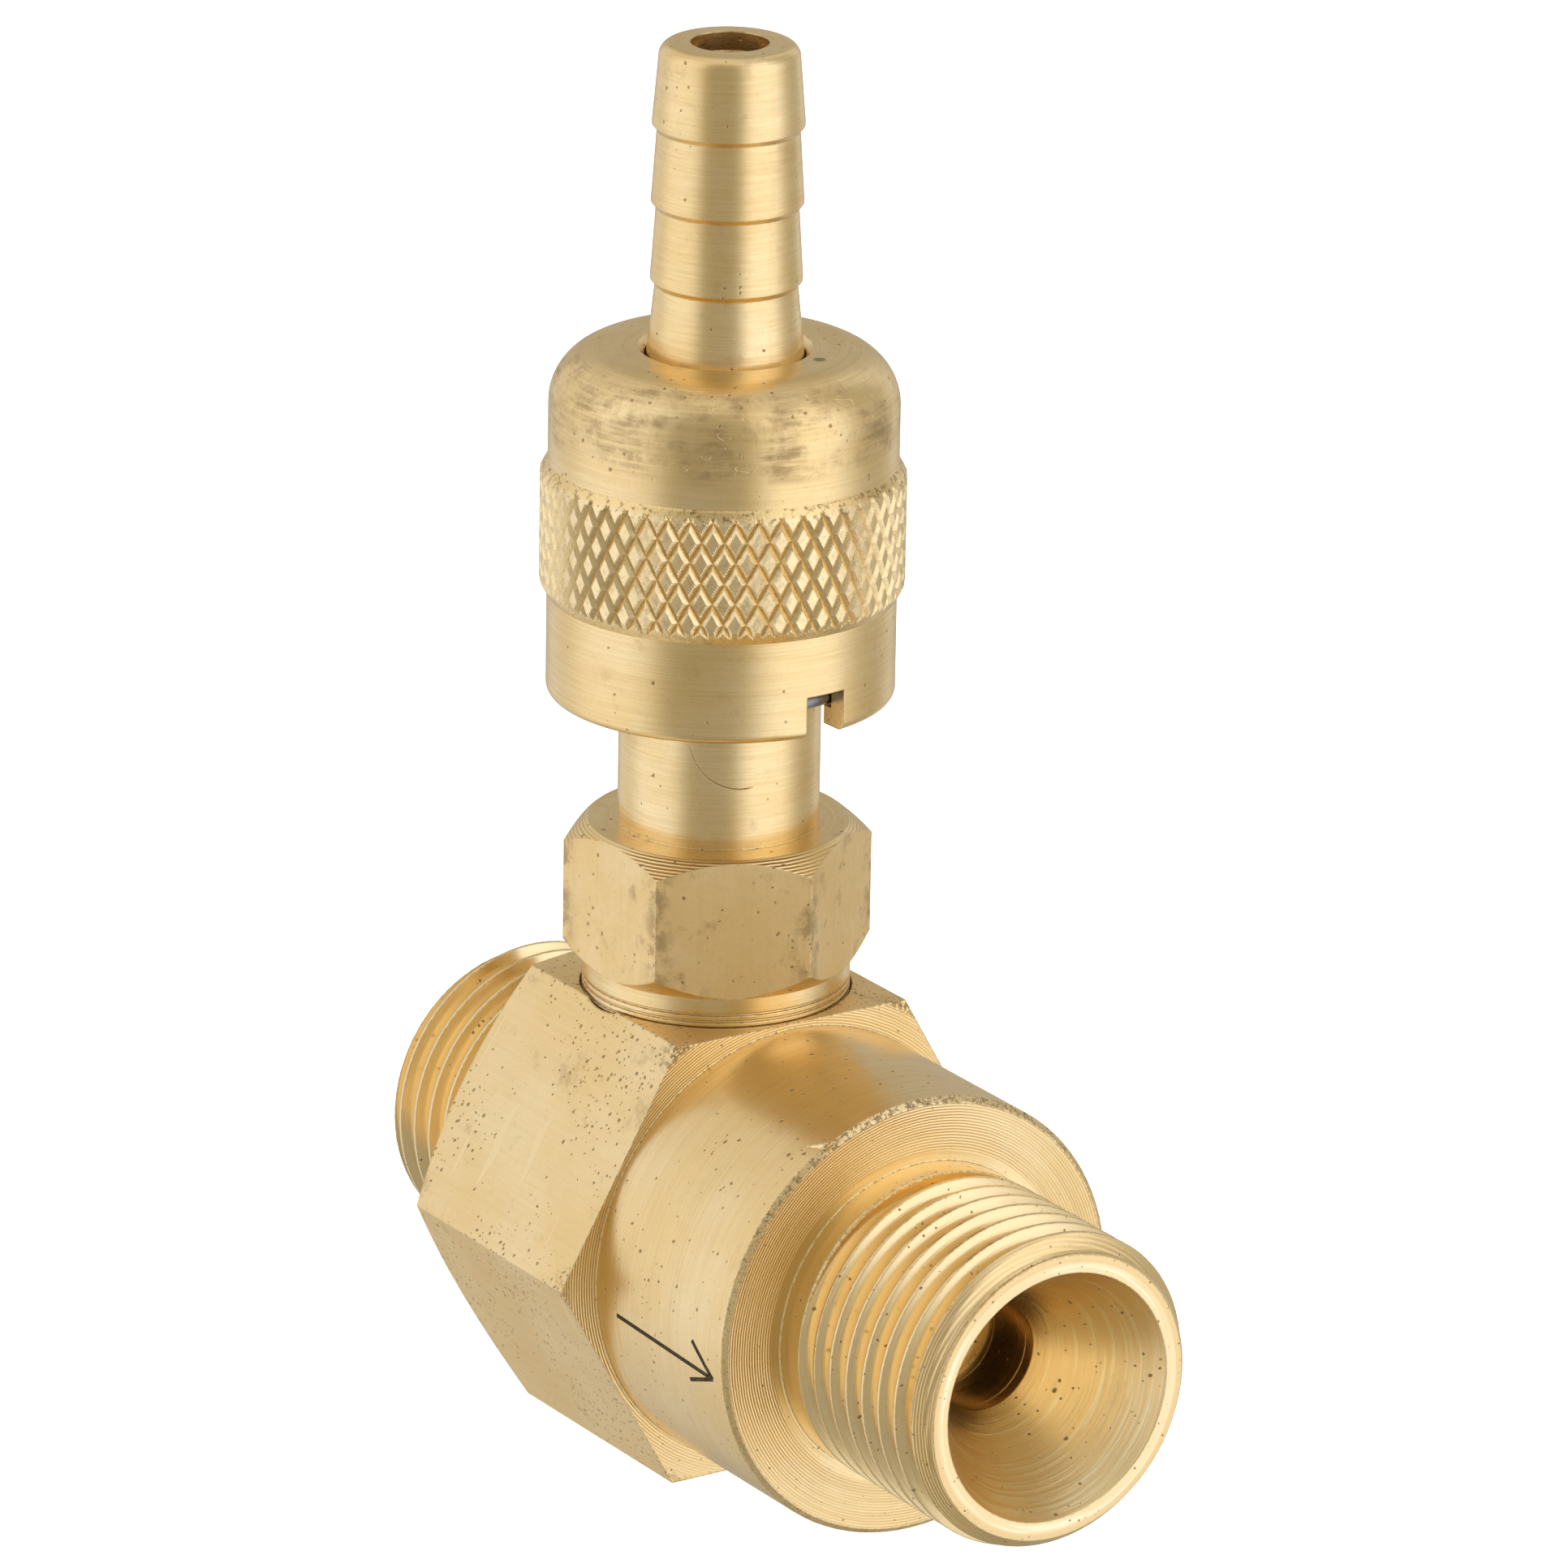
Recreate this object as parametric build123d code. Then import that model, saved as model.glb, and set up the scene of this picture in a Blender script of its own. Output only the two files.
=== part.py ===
from build123d import *
from math import cos, radians, sin, sqrt, tan
import os

# Adjustable injector needle valve. A hexagonal brass body lies along X and carries a
# venturi; a vertical bonnet on top of it holds the check ball, the metering needle,
# the hose stem and the knurled control knob.
# Frame: origin on the body's bottom flat under the stem axis, +X along the flow,
# +Z up the stem. Millimetres. Modelled closed, with the knob screwed right down.

# ---------------------------------------------------------------- clearances
RUN_GAP = 0.08          # radial, shafts that turn or slide in a bore
SEAL_GAP = 0.03         # radial, a sliding O-ring short of its bore
AXIAL_GAP = 0.05        # end float between stacked moving faces
SLIP_GAP = 0.05         # radial, an insert that is slipped in
THREAD_GAP = 0.10       # between the flanks and crests of the two stem threads
SKIRT_GAP = 0.15        # radial, the knob's skirt round the neck's threaded head

# ---------------------------------------------------------------- body
BODY_AF = 30.0          # hex bar across flats
HEX_REAR = -9.9         # from the stem's axis
HEX_LENGTH = 19.0
HEX_CHAMFER_ANGLE = 30.0
COLLAR_D = 29.25
COLLAR_LENGTH = 15.0
COLLAR_EDGE = 0.35
INLET_THREAD_LENGTH = 14.3
OUTLET_THREAD_LENGTH = 15.7

THREAD_D = 20.955       # G 1/2 parallel pipe thread
THREAD_PITCH = 1.814
THREAD_DEPTH = 1.162
THREAD_CREST_SHARE = 0.12   # of the pitch, width of a ridge's crest
THREAD_FLANK_ANGLE = 27.5
THREAD_FOOT_SHARE = 0.15    # of the depth, where the flank meets the rounded root
THREAD_ROOT_SHARE = 0.03    # of the depth, where the root's round ends
THREAD_ROOT_WIDTH = 0.45    # of the pitch, half width of a ridge at its root
THREAD_SINK_WIDTH = 0.49    # of the pitch, half width of a ridge's sunk foot
THREAD_SINK = 0.25          # how far a ridge's foot is let into its core
THREAD_SHANK = 2.2          # plain shank next to the collar or hex
THREAD_LEAD = 1.67          # height at which the ridge starts, inside the shank
SHANK_DROP = 0.05           # the shank's surface below the thread's crests
SPIGOT_ROOT = 5.0           # how far a threaded end is let into the body
END_CHAMFER = 1.08          # radial width of the chamfer at a free end
END_CHAMFER_ANGLE = 40.0
END_FACE_WIDTH = 1.15       # flat ring between the chamfer and the coned seat
SEAT_HALF_ANGLE = 30.0      # 60 degree seat for a coned tail

OUTLET_BORE_D = 7.2
INLET_BORE_D = 9.0
CHAMBER_D = 6.4
CHAMBER_REAR = -5.5
CHAMBER_FRONT = 4.0
SUCTION_D = 3.4

# ---------------------------------------------------------------- venturi inserts
ORIFICE_D = 2.1
NOZZLE_LENGTH = 11.5
NOZZLE_NOSE = 4.3
NOZZLE_NOSE_BASE_D = 5.2
NOZZLE_NOSE_TIP_D = 3.6
NOZZLE_MOUTH_D = 7.0
NOZZLE_FUNNEL_ANGLE = 15.0
NOZZLE_RING_WIDTH = 2.0
NOZZLE_RING_BACK = 5.5  # from the shoulder to the middle of the O-ring groove
NOZZLE_RING_SECTION = 1.4

DIFFUSER_STEP = 0.25    # radial, between the outlet's bore and the diffuser's
DIFFUSER_LENGTH = 22.0
DIFFUSER_MOUTH_D = 5.2
DIFFUSER_FUNNEL = 3.0
DIFFUSER_THROAT_D = 3.0
DIFFUSER_THROAT = 3.0
DIFFUSER_EXIT_D = 5.8

# ---------------------------------------------------------------- bonnet
BONNET_AF = 17.3
BONNET_CLOCK = 4.2      # angle of one hex corner from +X
BONNET_TOP_CHAMFER = 39.0
BONNET_FLAT_D = 16.8    # flat ring on top of the hex
BONNET_HEX_HEIGHT = 9.3
RING_D = 17.35          # round collar under the hex
RING_HEIGHT = 2.85
RING_LINE_DEPTH = 0.14
RING_LINE_WIDTH = 0.16
RING_LINES = (0.75, 1.2, 1.65)
SPOTFACE_GAP = 0.14
SPOTFACE_DEPTH = 0.9
PORT_THREAD_D = 14.0
PORT_THREAD_DEPTH = 7.0     # below the body's top flat
PORT_CHAMBER_DEPTH = 2.6    # spring chamber below the port's thread
BONNET_END_GAP = 0.2
BONNET_SEAL_SECTION = 1.4
BONNET_SEAL_D = 14.8        # outside of the seal under the ring

NECK_D = 13.0
NECK_THREAD_D = 18.0
NECK_THREAD_LENGTH = 7.3
NECK_EDGE = 0.2
STEM_PITCH = 1.25
STEM_TURNS = 2.0        # knob turns from shut to full open
STEM_THREAD_DEPTH = 0.6
STEM_THREAD_CREST_SHARE = 0.2
STEM_THREAD_FOOT_SHARE = 0.8

# ---------------------------------------------------------------- check valve
BALL_D = 6.35
BALL_SIDE_GAP = 0.775   # radial, for the liquid to pass the ball
BALL_CHAMBER_HEIGHT = 8.8   # inside the bonnet, up to the seat groove
BALL_SEAL_SECTION = 1.8
BALL_SEAL_OVER = 2.05   # the seat ring's outside diameter less the ball's
BALL_GAP = 0.08
BALL_TRAVEL = 1.5
SPRING_WIRE_D = 0.5
SPRING_UNDER = 1.35     # the ball's diameter less the spring's mean diameter
SPRING_TURNS = 5

# ---------------------------------------------------------------- needle and stem
SEAT_D = 3.2            # metering seat
SEAT_LENGTH = 3.7
SEAT_CONE_ANGLE = 45.0
NEEDLE_HEAD_RIM = 0.4   # radial, the needle's head beyond the seat
NEEDLE_HEAD_LENGTH = 4.4    # from the seat up to the stem
NEEDLE_SHOULDER = 0.5   # radial, the head beyond the shank
NEEDLE_SHANK_LENGTH = 2.2
NEEDLE_HALF_ANGLE = 20.0
NEEDLE_TIP_D = 0.8

STEM_D = 8.0
STEM_SLIM_CUT = 1.25    # radial, where the stem is slimmed for the cross holes
STEM_SLIM_LENGTH = 5.6
STEM_SEAL_DEPTH = 1.15  # radial, the two seal grooves
STEM_SEAL_WIDTH = 1.6
STEM_SEALS = (3.5, 9.0)     # above the slim length
STEM_BORE_D = 3.6
CROSS_HOLE_D = 2.2
CROSS_HOLE_HEIGHT = 3.9     # above the stem's lower end
FLANGE_GAP = 0.3        # radial, the stem's flange in the knob's cavity
FLANGE_THICKNESS = 2.2

TAIL_HEIGHT = 19.9      # above the knob
BARB_D = 9.7
BARB_ROOT_D = 9.1
BARB_PITCH = 5.05
BARB_COUNT = 3
BARB_FIRST = 5.3        # from the top to the first barb's lower edge
BARB_LAND = 0.25
BARB_STEP = 0.35
BARB_NOSE_D = 9.0
BARB_NOSE_ROUND = 0.9
BARB_BORE_D = 5.0
BARB_BORE_DEPTH = 26.0
BARB_LIP_DEPTH = 1.3
BARB_LIP_D = 4.6
JOURNAL_CONE = 5.0      # height of the plain cone that runs down into the knob

# ---------------------------------------------------------------- knob
KNOB_WALL = 2.05        # skirt, outside the bore
KNOB_HEIGHT = 23.0
NECK_SHOWN = 8.65       # between the hex and the rim when shut
KNOB_TOP_ROUND = 3.7
KNOB_RIM_ROUND = 0.6
KNOB_ROOF = 4.95
KNOB_HOLE_D = 10.3
KNOB_HOLE_EDGE = 0.45
KNURL_RISE = 0.5
KNURL_BOTTOM = 6.7      # above the rim, start of the knurl's lower chamfer
KNURL_HEIGHT = 8.9
KNURL_CHAMFER = 0.9
KNOB_SKIRT_DEPTH = 3.6  # plain bore below the knob's thread
KNOB_CAVITY_D = 13.0
KNOB_CAVITY_LIP = 0.7   # between the thread and the retaining ring's groove
KNOB_RELIEF = 0.35      # radial, undercut at the blind end of the knob's thread
KNOB_RELIEF_HEIGHT = 1.6
NOTCH_WIDTH = 2.9
NOTCH_HEIGHT = 2.8
NOTCH_ANGLE = 4.0       # from +X
SNAP_WIRE_D = 1.0
SNAP_HEIGHT = 1.85      # wire's centre above the rim
SNAP_BITE = 0.65        # radial, how far the wire sits in the skirt's wall
SNAP_GAP_ANGLE = 40.0
SNAP_GROOVE_EXTRA = 0.1
WASHER_UPPER = 0.95
WASHER_LOWER = 0.8
CIRCLIP_THICKNESS = 0.9
CIRCLIP_BITE = 0.7      # radial, depth of the retaining ring's groove
CIRCLIP_WIDTH = 2.0     # radial
CIRCLIP_GAP_ANGLE = 40.0

# ---------------------------------------------------------------- places that follow
AXIS_Z = BODY_AF / 2
HEX_FRONT = HEX_REAR + HEX_LENGTH
COLLAR_END = HEX_FRONT + COLLAR_LENGTH
OUTLET_END = COLLAR_END + OUTLET_THREAD_LENGTH
INLET_END = HEX_REAR - INLET_THREAD_LENGTH
END_FACE_D = THREAD_D - 2 * END_CHAMFER
SEAT_MOUTH_D = END_FACE_D - 2 * END_FACE_WIDTH
NOZZLE_REAR = CHAMBER_REAR - NOZZLE_LENGTH
DIFFUSER_END = CHAMBER_FRONT + DIFFUSER_LENGTH
DIFFUSER_D = OUTLET_BORE_D - 2 * DIFFUSER_STEP

BONNET_SEAT = BODY_AF - SPOTFACE_DEPTH
BONNET_HEX_BOTTOM = BONNET_SEAT + RING_HEIGHT
BONNET_HEX_TOP = BONNET_HEX_BOTTOM + BONNET_HEX_HEIGHT
PORT_THREAD_END = BODY_AF - PORT_THREAD_DEPTH
PORT_FLOOR = PORT_THREAD_END - PORT_CHAMBER_DEPTH
BONNET_END = PORT_THREAD_END + BONNET_END_GAP
BONNET_UNDERCUT_D = BONNET_SEAL_D - 2 * BONNET_SEAL_SECTION
SEAL_POCKET = BONNET_SEAT - BONNET_SEAL_SECTION

BALL_CHAMBER_D = BALL_D + 2 * BALL_SIDE_GAP
BALL_SEAL_D = BALL_D + BALL_SEAL_OVER
BALL_SEAL_FLOOR = BONNET_END + BALL_CHAMBER_HEIGHT
BALL_SEAL_TOP = BALL_SEAL_FLOOR + BALL_SEAL_SECTION
BALL_SEAL_RADIUS = (BALL_SEAL_D - BALL_SEAL_SECTION) / 2
BALL_REACH = sqrt(((BALL_D + BALL_SEAL_SECTION) / 2) ** 2 - BALL_SEAL_RADIUS ** 2)
BALL_Z = (BALL_SEAL_FLOOR + BALL_SEAL_TOP) / 2 - BALL_REACH - BALL_GAP
SPRING_MEAN_D = BALL_D - SPRING_UNDER
SPRING_REACH = sqrt(((BALL_D + SPRING_WIRE_D) / 2) ** 2 - (SPRING_MEAN_D / 2) ** 2)
SPRING_TOP = BALL_Z - SPRING_REACH - BALL_GAP

SEAT_TOP = BALL_SEAL_TOP + SEAT_LENGTH
NEEDLE_HEAD_D = SEAT_D + 2 * NEEDLE_HEAD_RIM
NEEDLE_SHANK_D = NEEDLE_HEAD_D - 2 * NEEDLE_SHOULDER
STEM_END = SEAT_TOP + NEEDLE_HEAD_LENGTH
STEM_SLIM_D = STEM_D - 2 * STEM_SLIM_CUT
STEM_SLIM_TOP = STEM_END + STEM_SLIM_LENGTH
STEM_SEAL_ROOT_D = STEM_D - 2 * STEM_SEAL_DEPTH
STEM_SEAL_HEIGHTS = [STEM_SLIM_TOP + rise for rise in STEM_SEALS]
STEM_BORE_GAP_D = STEM_D + 2 * RUN_GAP
STEM_TRAVEL = STEM_PITCH * STEM_TURNS

KNOB_RIM = BONNET_HEX_TOP + NECK_SHOWN
KNOB_TOP = KNOB_RIM + KNOB_HEIGHT
KNOB_SHOULDER = KNOB_TOP - KNOB_ROOF
KNOB_SKIRT_BORE_D = NECK_THREAD_D + 2 * SKIRT_GAP
KNOB_D = KNOB_SKIRT_BORE_D + 2 * KNOB_WALL
KNURL_D = KNOB_D + 2 * KNURL_RISE
KNOB_RELIEF_D = NECK_THREAD_D + 2 * KNOB_RELIEF
WASHER_UPPER_BOTTOM = KNOB_SHOULDER - WASHER_UPPER
FLANGE_D = KNOB_CAVITY_D - 2 * FLANGE_GAP
FLANGE_TOP = WASHER_UPPER_BOTTOM - AXIAL_GAP
FLANGE_BOTTOM = FLANGE_TOP - FLANGE_THICKNESS
WASHER_LOWER_TOP = FLANGE_BOTTOM - AXIAL_GAP
CIRCLIP_TOP = WASHER_LOWER_TOP - WASHER_LOWER
CIRCLIP_BOTTOM = CIRCLIP_TOP - CIRCLIP_THICKNESS
CIRCLIP_OUTER_D = KNOB_CAVITY_D + 2 * CIRCLIP_BITE
CIRCLIP_INNER_D = CIRCLIP_OUTER_D - 2 * CIRCLIP_WIDTH
KNOB_THREAD_TOP = CIRCLIP_BOTTOM - KNOB_CAVITY_LIP
KNOB_THREAD_BOTTOM = KNOB_RIM + KNOB_SKIRT_DEPTH
JOURNAL_D = KNOB_HOLE_D - 2 * RUN_GAP
BARB_TOP = KNOB_TOP + TAIL_HEIGHT
JOURNAL_TOP = BARB_TOP - BARB_FIRST - BARB_STEP - (BARB_COUNT - 1) * BARB_PITCH - JOURNAL_CONE

# The snap ring meets the 45 degree edge under the neck's head at full travel.
SNAP_OUTER_D = KNOB_SKIRT_BORE_D + 2 * SNAP_BITE
SNAP_Z = KNOB_RIM + SNAP_HEIGHT
SNAP_OUTSIDE = (SNAP_OUTER_D - SNAP_WIRE_D - NECK_THREAD_D) / 2
SNAP_RISE = sqrt(2) * (SNAP_WIRE_D / 2 + RUN_GAP) - SNAP_OUTSIDE - NECK_EDGE
NECK_SHOULDER = SNAP_Z + STEM_TRAVEL + SNAP_RISE
NECK_TOP = NECK_SHOULDER + NECK_THREAD_LENGTH

FLOW = Plane(origin=(0, 0, AXIS_Z), x_dir=(0, 0, 1), z_dir=(1, 0, 0)).location


def tan_deg(angle):
    return tan(radians(angle))


def turned(*outline):
    """Solid of revolution about Z from (radius, height) points."""
    return revolve(Plane.XZ * make_face(Polyline(*outline, close=True)), axis=Axis.Z)


def rod(diameter, bottom, top):
    """Upright cylinder between two heights."""
    blank = Cylinder(diameter / 2, top - bottom, align=(Align.CENTER, Align.CENTER, Align.MIN))
    return Pos(0, 0, bottom) * blank


def tube(outer, inner, bottom, top):
    """Upright ring between two heights."""
    return rod(outer, bottom, top) - rod(inner, bottom - 1, top + 1)


def hex_prism(across_flats, bottom, top, clock):
    """Upright hexagonal bar with one corner at the angle clock."""
    face = RegularPolygon(across_flats / 2, 6, major_radius=False, rotation=clock)
    return Pos(0, 0, bottom) * extrude(face, amount=top - bottom)


def o_ring(outer, section, height):
    """O-ring of the given outside diameter, centred at a height."""
    return Pos(0, 0, height) * Torus((outer - section) / 2, section / 2)


def thread_ridge(core, pitch, start, end, half_outline):
    """Right-hand thread ridge wound on a core diameter. The outline's points are
    (height above the core, half width), from the foot to the crest."""
    path = Helix(pitch=pitch, height=end - start, radius=core / 2)
    mirrored = [(height, -half_width) for height, half_width in reversed(half_outline)]
    outline = make_face(Polyline(*half_outline, *mirrored, close=True))
    section = Plane(origin=path @ 0, x_dir=(1, 0, 0), z_dir=(0, 1, 0)) * outline
    return Pos(0, 0, start) * sweep(section, path=path, is_frenet=True)


def pipe_thread_outline():
    """Half of one pipe thread ridge: narrow crest, 27.5 degree flank and rounded root."""
    crest = THREAD_PITCH * THREAD_CREST_SHARE / 2
    flank_foot = THREAD_DEPTH * THREAD_FOOT_SHARE
    flank = crest + (THREAD_DEPTH - flank_foot) * tan_deg(THREAD_FLANK_ANGLE)
    return [
        (-THREAD_SINK, THREAD_PITCH * THREAD_SINK_WIDTH),
        (THREAD_DEPTH * THREAD_ROOT_SHARE, THREAD_PITCH * THREAD_ROOT_WIDTH),
        (flank_foot, flank),
        (THREAD_DEPTH, crest),
    ]


def threaded_spigot(length):
    """Threaded end standing on height 0, with its free end up."""
    chamfer = (THREAD_D - END_FACE_D) / 2 / tan_deg(END_CHAMFER_ANGLE)
    core = THREAD_D - 2 * THREAD_DEPTH
    over = THREAD_PITCH
    envelope = turned(
        (0, -SPIGOT_ROOT),
        (THREAD_D, -SPIGOT_ROOT),
        (THREAD_D, length - chamfer - (THREAD_D / 2) / tan_deg(END_CHAMFER_ANGLE)),
        (END_FACE_D / 2, length),
        (0, length),
    )
    ridge = thread_ridge(core, THREAD_PITCH, THREAD_LEAD, length + over, pipe_thread_outline())
    threaded = (rod(core, -SPIGOT_ROOT, length + 2 * over) + ridge) & envelope
    return threaded + rod(THREAD_D - 2 * SHANK_DROP, -SPIGOT_ROOT, THREAD_SHANK)


def coned_seat(end, way, bore):
    """Cutter for a coned seat and the bore behind its small end."""
    depth = (SEAT_MOUTH_D - bore) / 2 / tan_deg(SEAT_HALF_ANGLE)
    over = 1.0
    wide = SEAT_MOUTH_D / 2 + over * tan_deg(SEAT_HALF_ANGLE)
    return turned(
        (0, end + way * over),
        (wide, end + way * over),
        (bore / 2, end - way * depth),
        (0, end - way * depth),
    )


def injector_body():
    rear_rise = BODY_AF * tan_deg(HEX_CHAMFER_ANGLE) / 2
    envelope = turned(
        (0, HEX_REAR),
        (BODY_AF / 2, HEX_REAR),
        (BODY_AF, HEX_REAR + rear_rise),
        (BODY_AF, HEX_FRONT),
        (0, HEX_FRONT),
    )
    body = hex_prism(BODY_AF, HEX_REAR, HEX_FRONT, 30) & envelope
    body += turned(
        (0, 0),
        (COLLAR_D / 2, 0),
        (COLLAR_D / 2, COLLAR_END - COLLAR_EDGE),
        (COLLAR_D / 2 - COLLAR_EDGE, COLLAR_END),
        (0, COLLAR_END),
    )
    body += Pos(0, 0, COLLAR_END) * threaded_spigot(OUTLET_END - COLLAR_END)
    body += Pos(0, 0, HEX_REAR) * Rot(180, 0, 0) * threaded_spigot(HEX_REAR - INLET_END)
    body -= coned_seat(OUTLET_END, 1, OUTLET_BORE_D)
    body -= coned_seat(INLET_END, -1, INLET_BORE_D)
    body -= rod(OUTLET_BORE_D, DIFFUSER_END, OUTLET_END)
    body -= rod(DIFFUSER_D, CHAMBER_FRONT, OUTLET_END)
    body -= rod(INLET_BORE_D, INLET_END, CHAMBER_REAR)
    body -= rod(CHAMBER_D, CHAMBER_REAR, CHAMBER_FRONT)
    body = FLOW * body
    body -= rod(SUCTION_D, AXIS_Z, PORT_FLOOR)
    body -= rod(BALL_CHAMBER_D, PORT_FLOOR, PORT_THREAD_END)
    body -= rod(PORT_THREAD_D, PORT_THREAD_END, BODY_AF)
    body -= rod(BONNET_SEAL_D, SEAL_POCKET, BODY_AF)
    body -= rod(RING_D + 2 * SPOTFACE_GAP, BONNET_SEAT, BODY_AF + 1)
    return body


def inlet_nozzle():
    outer = (INLET_BORE_D - 2 * SLIP_GAP) / 2
    groove_root = INLET_BORE_D / 2 - NOZZLE_RING_SECTION
    groove_middle = CHAMBER_REAR - NOZZLE_RING_BACK
    funnel = (NOZZLE_MOUTH_D - ORIFICE_D) / 2 / tan_deg(NOZZLE_FUNNEL_ANGLE)
    tip = CHAMBER_REAR + NOZZLE_NOSE
    solid = turned(
        (NOZZLE_MOUTH_D / 2, NOZZLE_REAR),
        (outer, NOZZLE_REAR),
        (outer, groove_middle - NOZZLE_RING_WIDTH / 2),
        (groove_root, groove_middle - NOZZLE_RING_WIDTH / 2),
        (groove_root, groove_middle + NOZZLE_RING_WIDTH / 2),
        (outer, groove_middle + NOZZLE_RING_WIDTH / 2),
        (outer, CHAMBER_REAR),
        (NOZZLE_NOSE_BASE_D / 2, CHAMBER_REAR),
        (NOZZLE_NOSE_TIP_D / 2, tip),
        (ORIFICE_D / 2, tip),
        (ORIFICE_D / 2, NOZZLE_REAR + funnel),
    )
    return FLOW * solid


def nozzle_o_ring():
    return FLOW * o_ring(INLET_BORE_D, NOZZLE_RING_SECTION, CHAMBER_REAR - NOZZLE_RING_BACK)


def diffuser():
    throat_start = CHAMBER_FRONT + DIFFUSER_FUNNEL
    throat_end = throat_start + DIFFUSER_THROAT
    solid = turned(
        (DIFFUSER_MOUTH_D / 2, CHAMBER_FRONT),
        (DIFFUSER_D / 2, CHAMBER_FRONT),
        (DIFFUSER_D / 2, DIFFUSER_END),
        (DIFFUSER_EXIT_D / 2, DIFFUSER_END),
        (DIFFUSER_THROAT_D / 2, throat_end),
        (DIFFUSER_THROAT_D / 2, throat_start),
    )
    return FLOW * solid


def bonnet_hex():
    """The bonnet's hexagon, chamfered at both ends."""
    fall = BONNET_AF * tan_deg(BONNET_TOP_CHAMFER) / 2
    envelope = turned(
        (0, BONNET_HEX_BOTTOM),
        (RING_D / 2, BONNET_HEX_BOTTOM),
        (RING_D, BONNET_HEX_BOTTOM + RING_D / 2),
        (BONNET_FLAT_D / 2 + BONNET_AF / 2, BONNET_HEX_TOP - fall),
        (BONNET_FLAT_D / 2, BONNET_HEX_TOP),
        (0, BONNET_HEX_TOP),
    )
    return hex_prism(BONNET_AF, BONNET_HEX_BOTTOM, BONNET_HEX_TOP, BONNET_CLOCK) & envelope


def bonnet_bore():
    """Everything cut from the bonnet along its axis, from the stem's bore down to the
    ball's chamber."""
    seat_rise = (STEM_BORE_GAP_D - SEAT_D) / 2 / tan_deg(SEAT_CONE_ANGLE)
    return turned(
        (0, BONNET_END - 1),
        (BALL_CHAMBER_D / 2, BONNET_END - 1),
        (BALL_CHAMBER_D / 2, BALL_SEAL_FLOOR),
        (BALL_SEAL_D / 2, BALL_SEAL_FLOOR),
        (BALL_SEAL_D / 2, BALL_SEAL_TOP),
        (SEAT_D / 2, BALL_SEAL_TOP),
        (SEAT_D / 2, SEAT_TOP),
        (STEM_BORE_GAP_D / 2, SEAT_TOP + seat_rise),
        (STEM_BORE_GAP_D / 2, NECK_TOP + 1),
        (0, NECK_TOP + 1),
    )


def stem_thread_outline(core, gap):
    """Half of one stem thread ridge on the given core diameter, grown by a gap."""
    height = (NECK_THREAD_D - core) / 2
    foot = STEM_PITCH * STEM_THREAD_FOOT_SHARE / 2
    crest = STEM_PITCH * STEM_THREAD_CREST_SHARE / 2
    slope = (foot - crest) / STEM_THREAD_DEPTH
    sink = THREAD_SINK
    return [(-sink, crest + slope * (height + sink) + gap), (height + gap, crest + gap)]


def threaded_neck_head():
    """The wider threaded head that the knob runs on."""
    core = NECK_THREAD_D - 2 * STEM_THREAD_DEPTH
    start = NECK_SHOULDER - STEM_PITCH
    end = NECK_TOP + STEM_PITCH
    ridge = thread_ridge(core, STEM_PITCH, start, end, stem_thread_outline(core, 0))
    envelope = turned(
        (0, NECK_SHOULDER),
        (NECK_THREAD_D / 2 - NECK_EDGE, NECK_SHOULDER),
        (NECK_THREAD_D / 2 + 1, NECK_SHOULDER + NECK_EDGE + 1),
        (NECK_THREAD_D / 2 + 1, NECK_TOP - NECK_EDGE - 1),
        (NECK_THREAD_D / 2 - NECK_EDGE, NECK_TOP),
        (0, NECK_TOP),
    )
    return (rod(core, start, end) + ridge) & envelope


def valve_bonnet():
    bonnet = bonnet_hex()
    bonnet += rod(PORT_THREAD_D, BONNET_END, SEAL_POCKET)
    bonnet += rod(BONNET_UNDERCUT_D, SEAL_POCKET, BONNET_SEAT)
    bonnet += rod(RING_D, BONNET_SEAT, BONNET_HEX_BOTTOM)
    bonnet += rod(NECK_D, BONNET_HEX_TOP, NECK_SHOULDER)
    bonnet += threaded_neck_head()
    for height in RING_LINES:
        line = BONNET_SEAT + height
        bonnet -= tube(RING_D + 1, RING_D - 2 * RING_LINE_DEPTH, line, line + RING_LINE_WIDTH)
    return bonnet - bonnet_bore()


def bonnet_o_ring():
    return o_ring(BONNET_SEAL_D, BONNET_SEAL_SECTION, BONNET_SEAT - BONNET_SEAL_SECTION / 2)


def ball_seat_o_ring():
    return o_ring(BALL_SEAL_D, BALL_SEAL_SECTION, (BALL_SEAL_FLOOR + BALL_SEAL_TOP) / 2)


def check_ball():
    return Pos(0, 0, BALL_Z) * Sphere(BALL_D / 2)


def check_spring():
    bottom = PORT_FLOOR + SPRING_WIRE_D / 2
    height = SPRING_TOP - bottom
    path = Helix(pitch=height / SPRING_TURNS, height=height, radius=SPRING_MEAN_D / 2)
    section = Plane(origin=path @ 0, z_dir=path % 0) * Circle(SPRING_WIRE_D / 2)
    return Pos(0, 0, bottom) * sweep(section, path=path, is_frenet=True)


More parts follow.
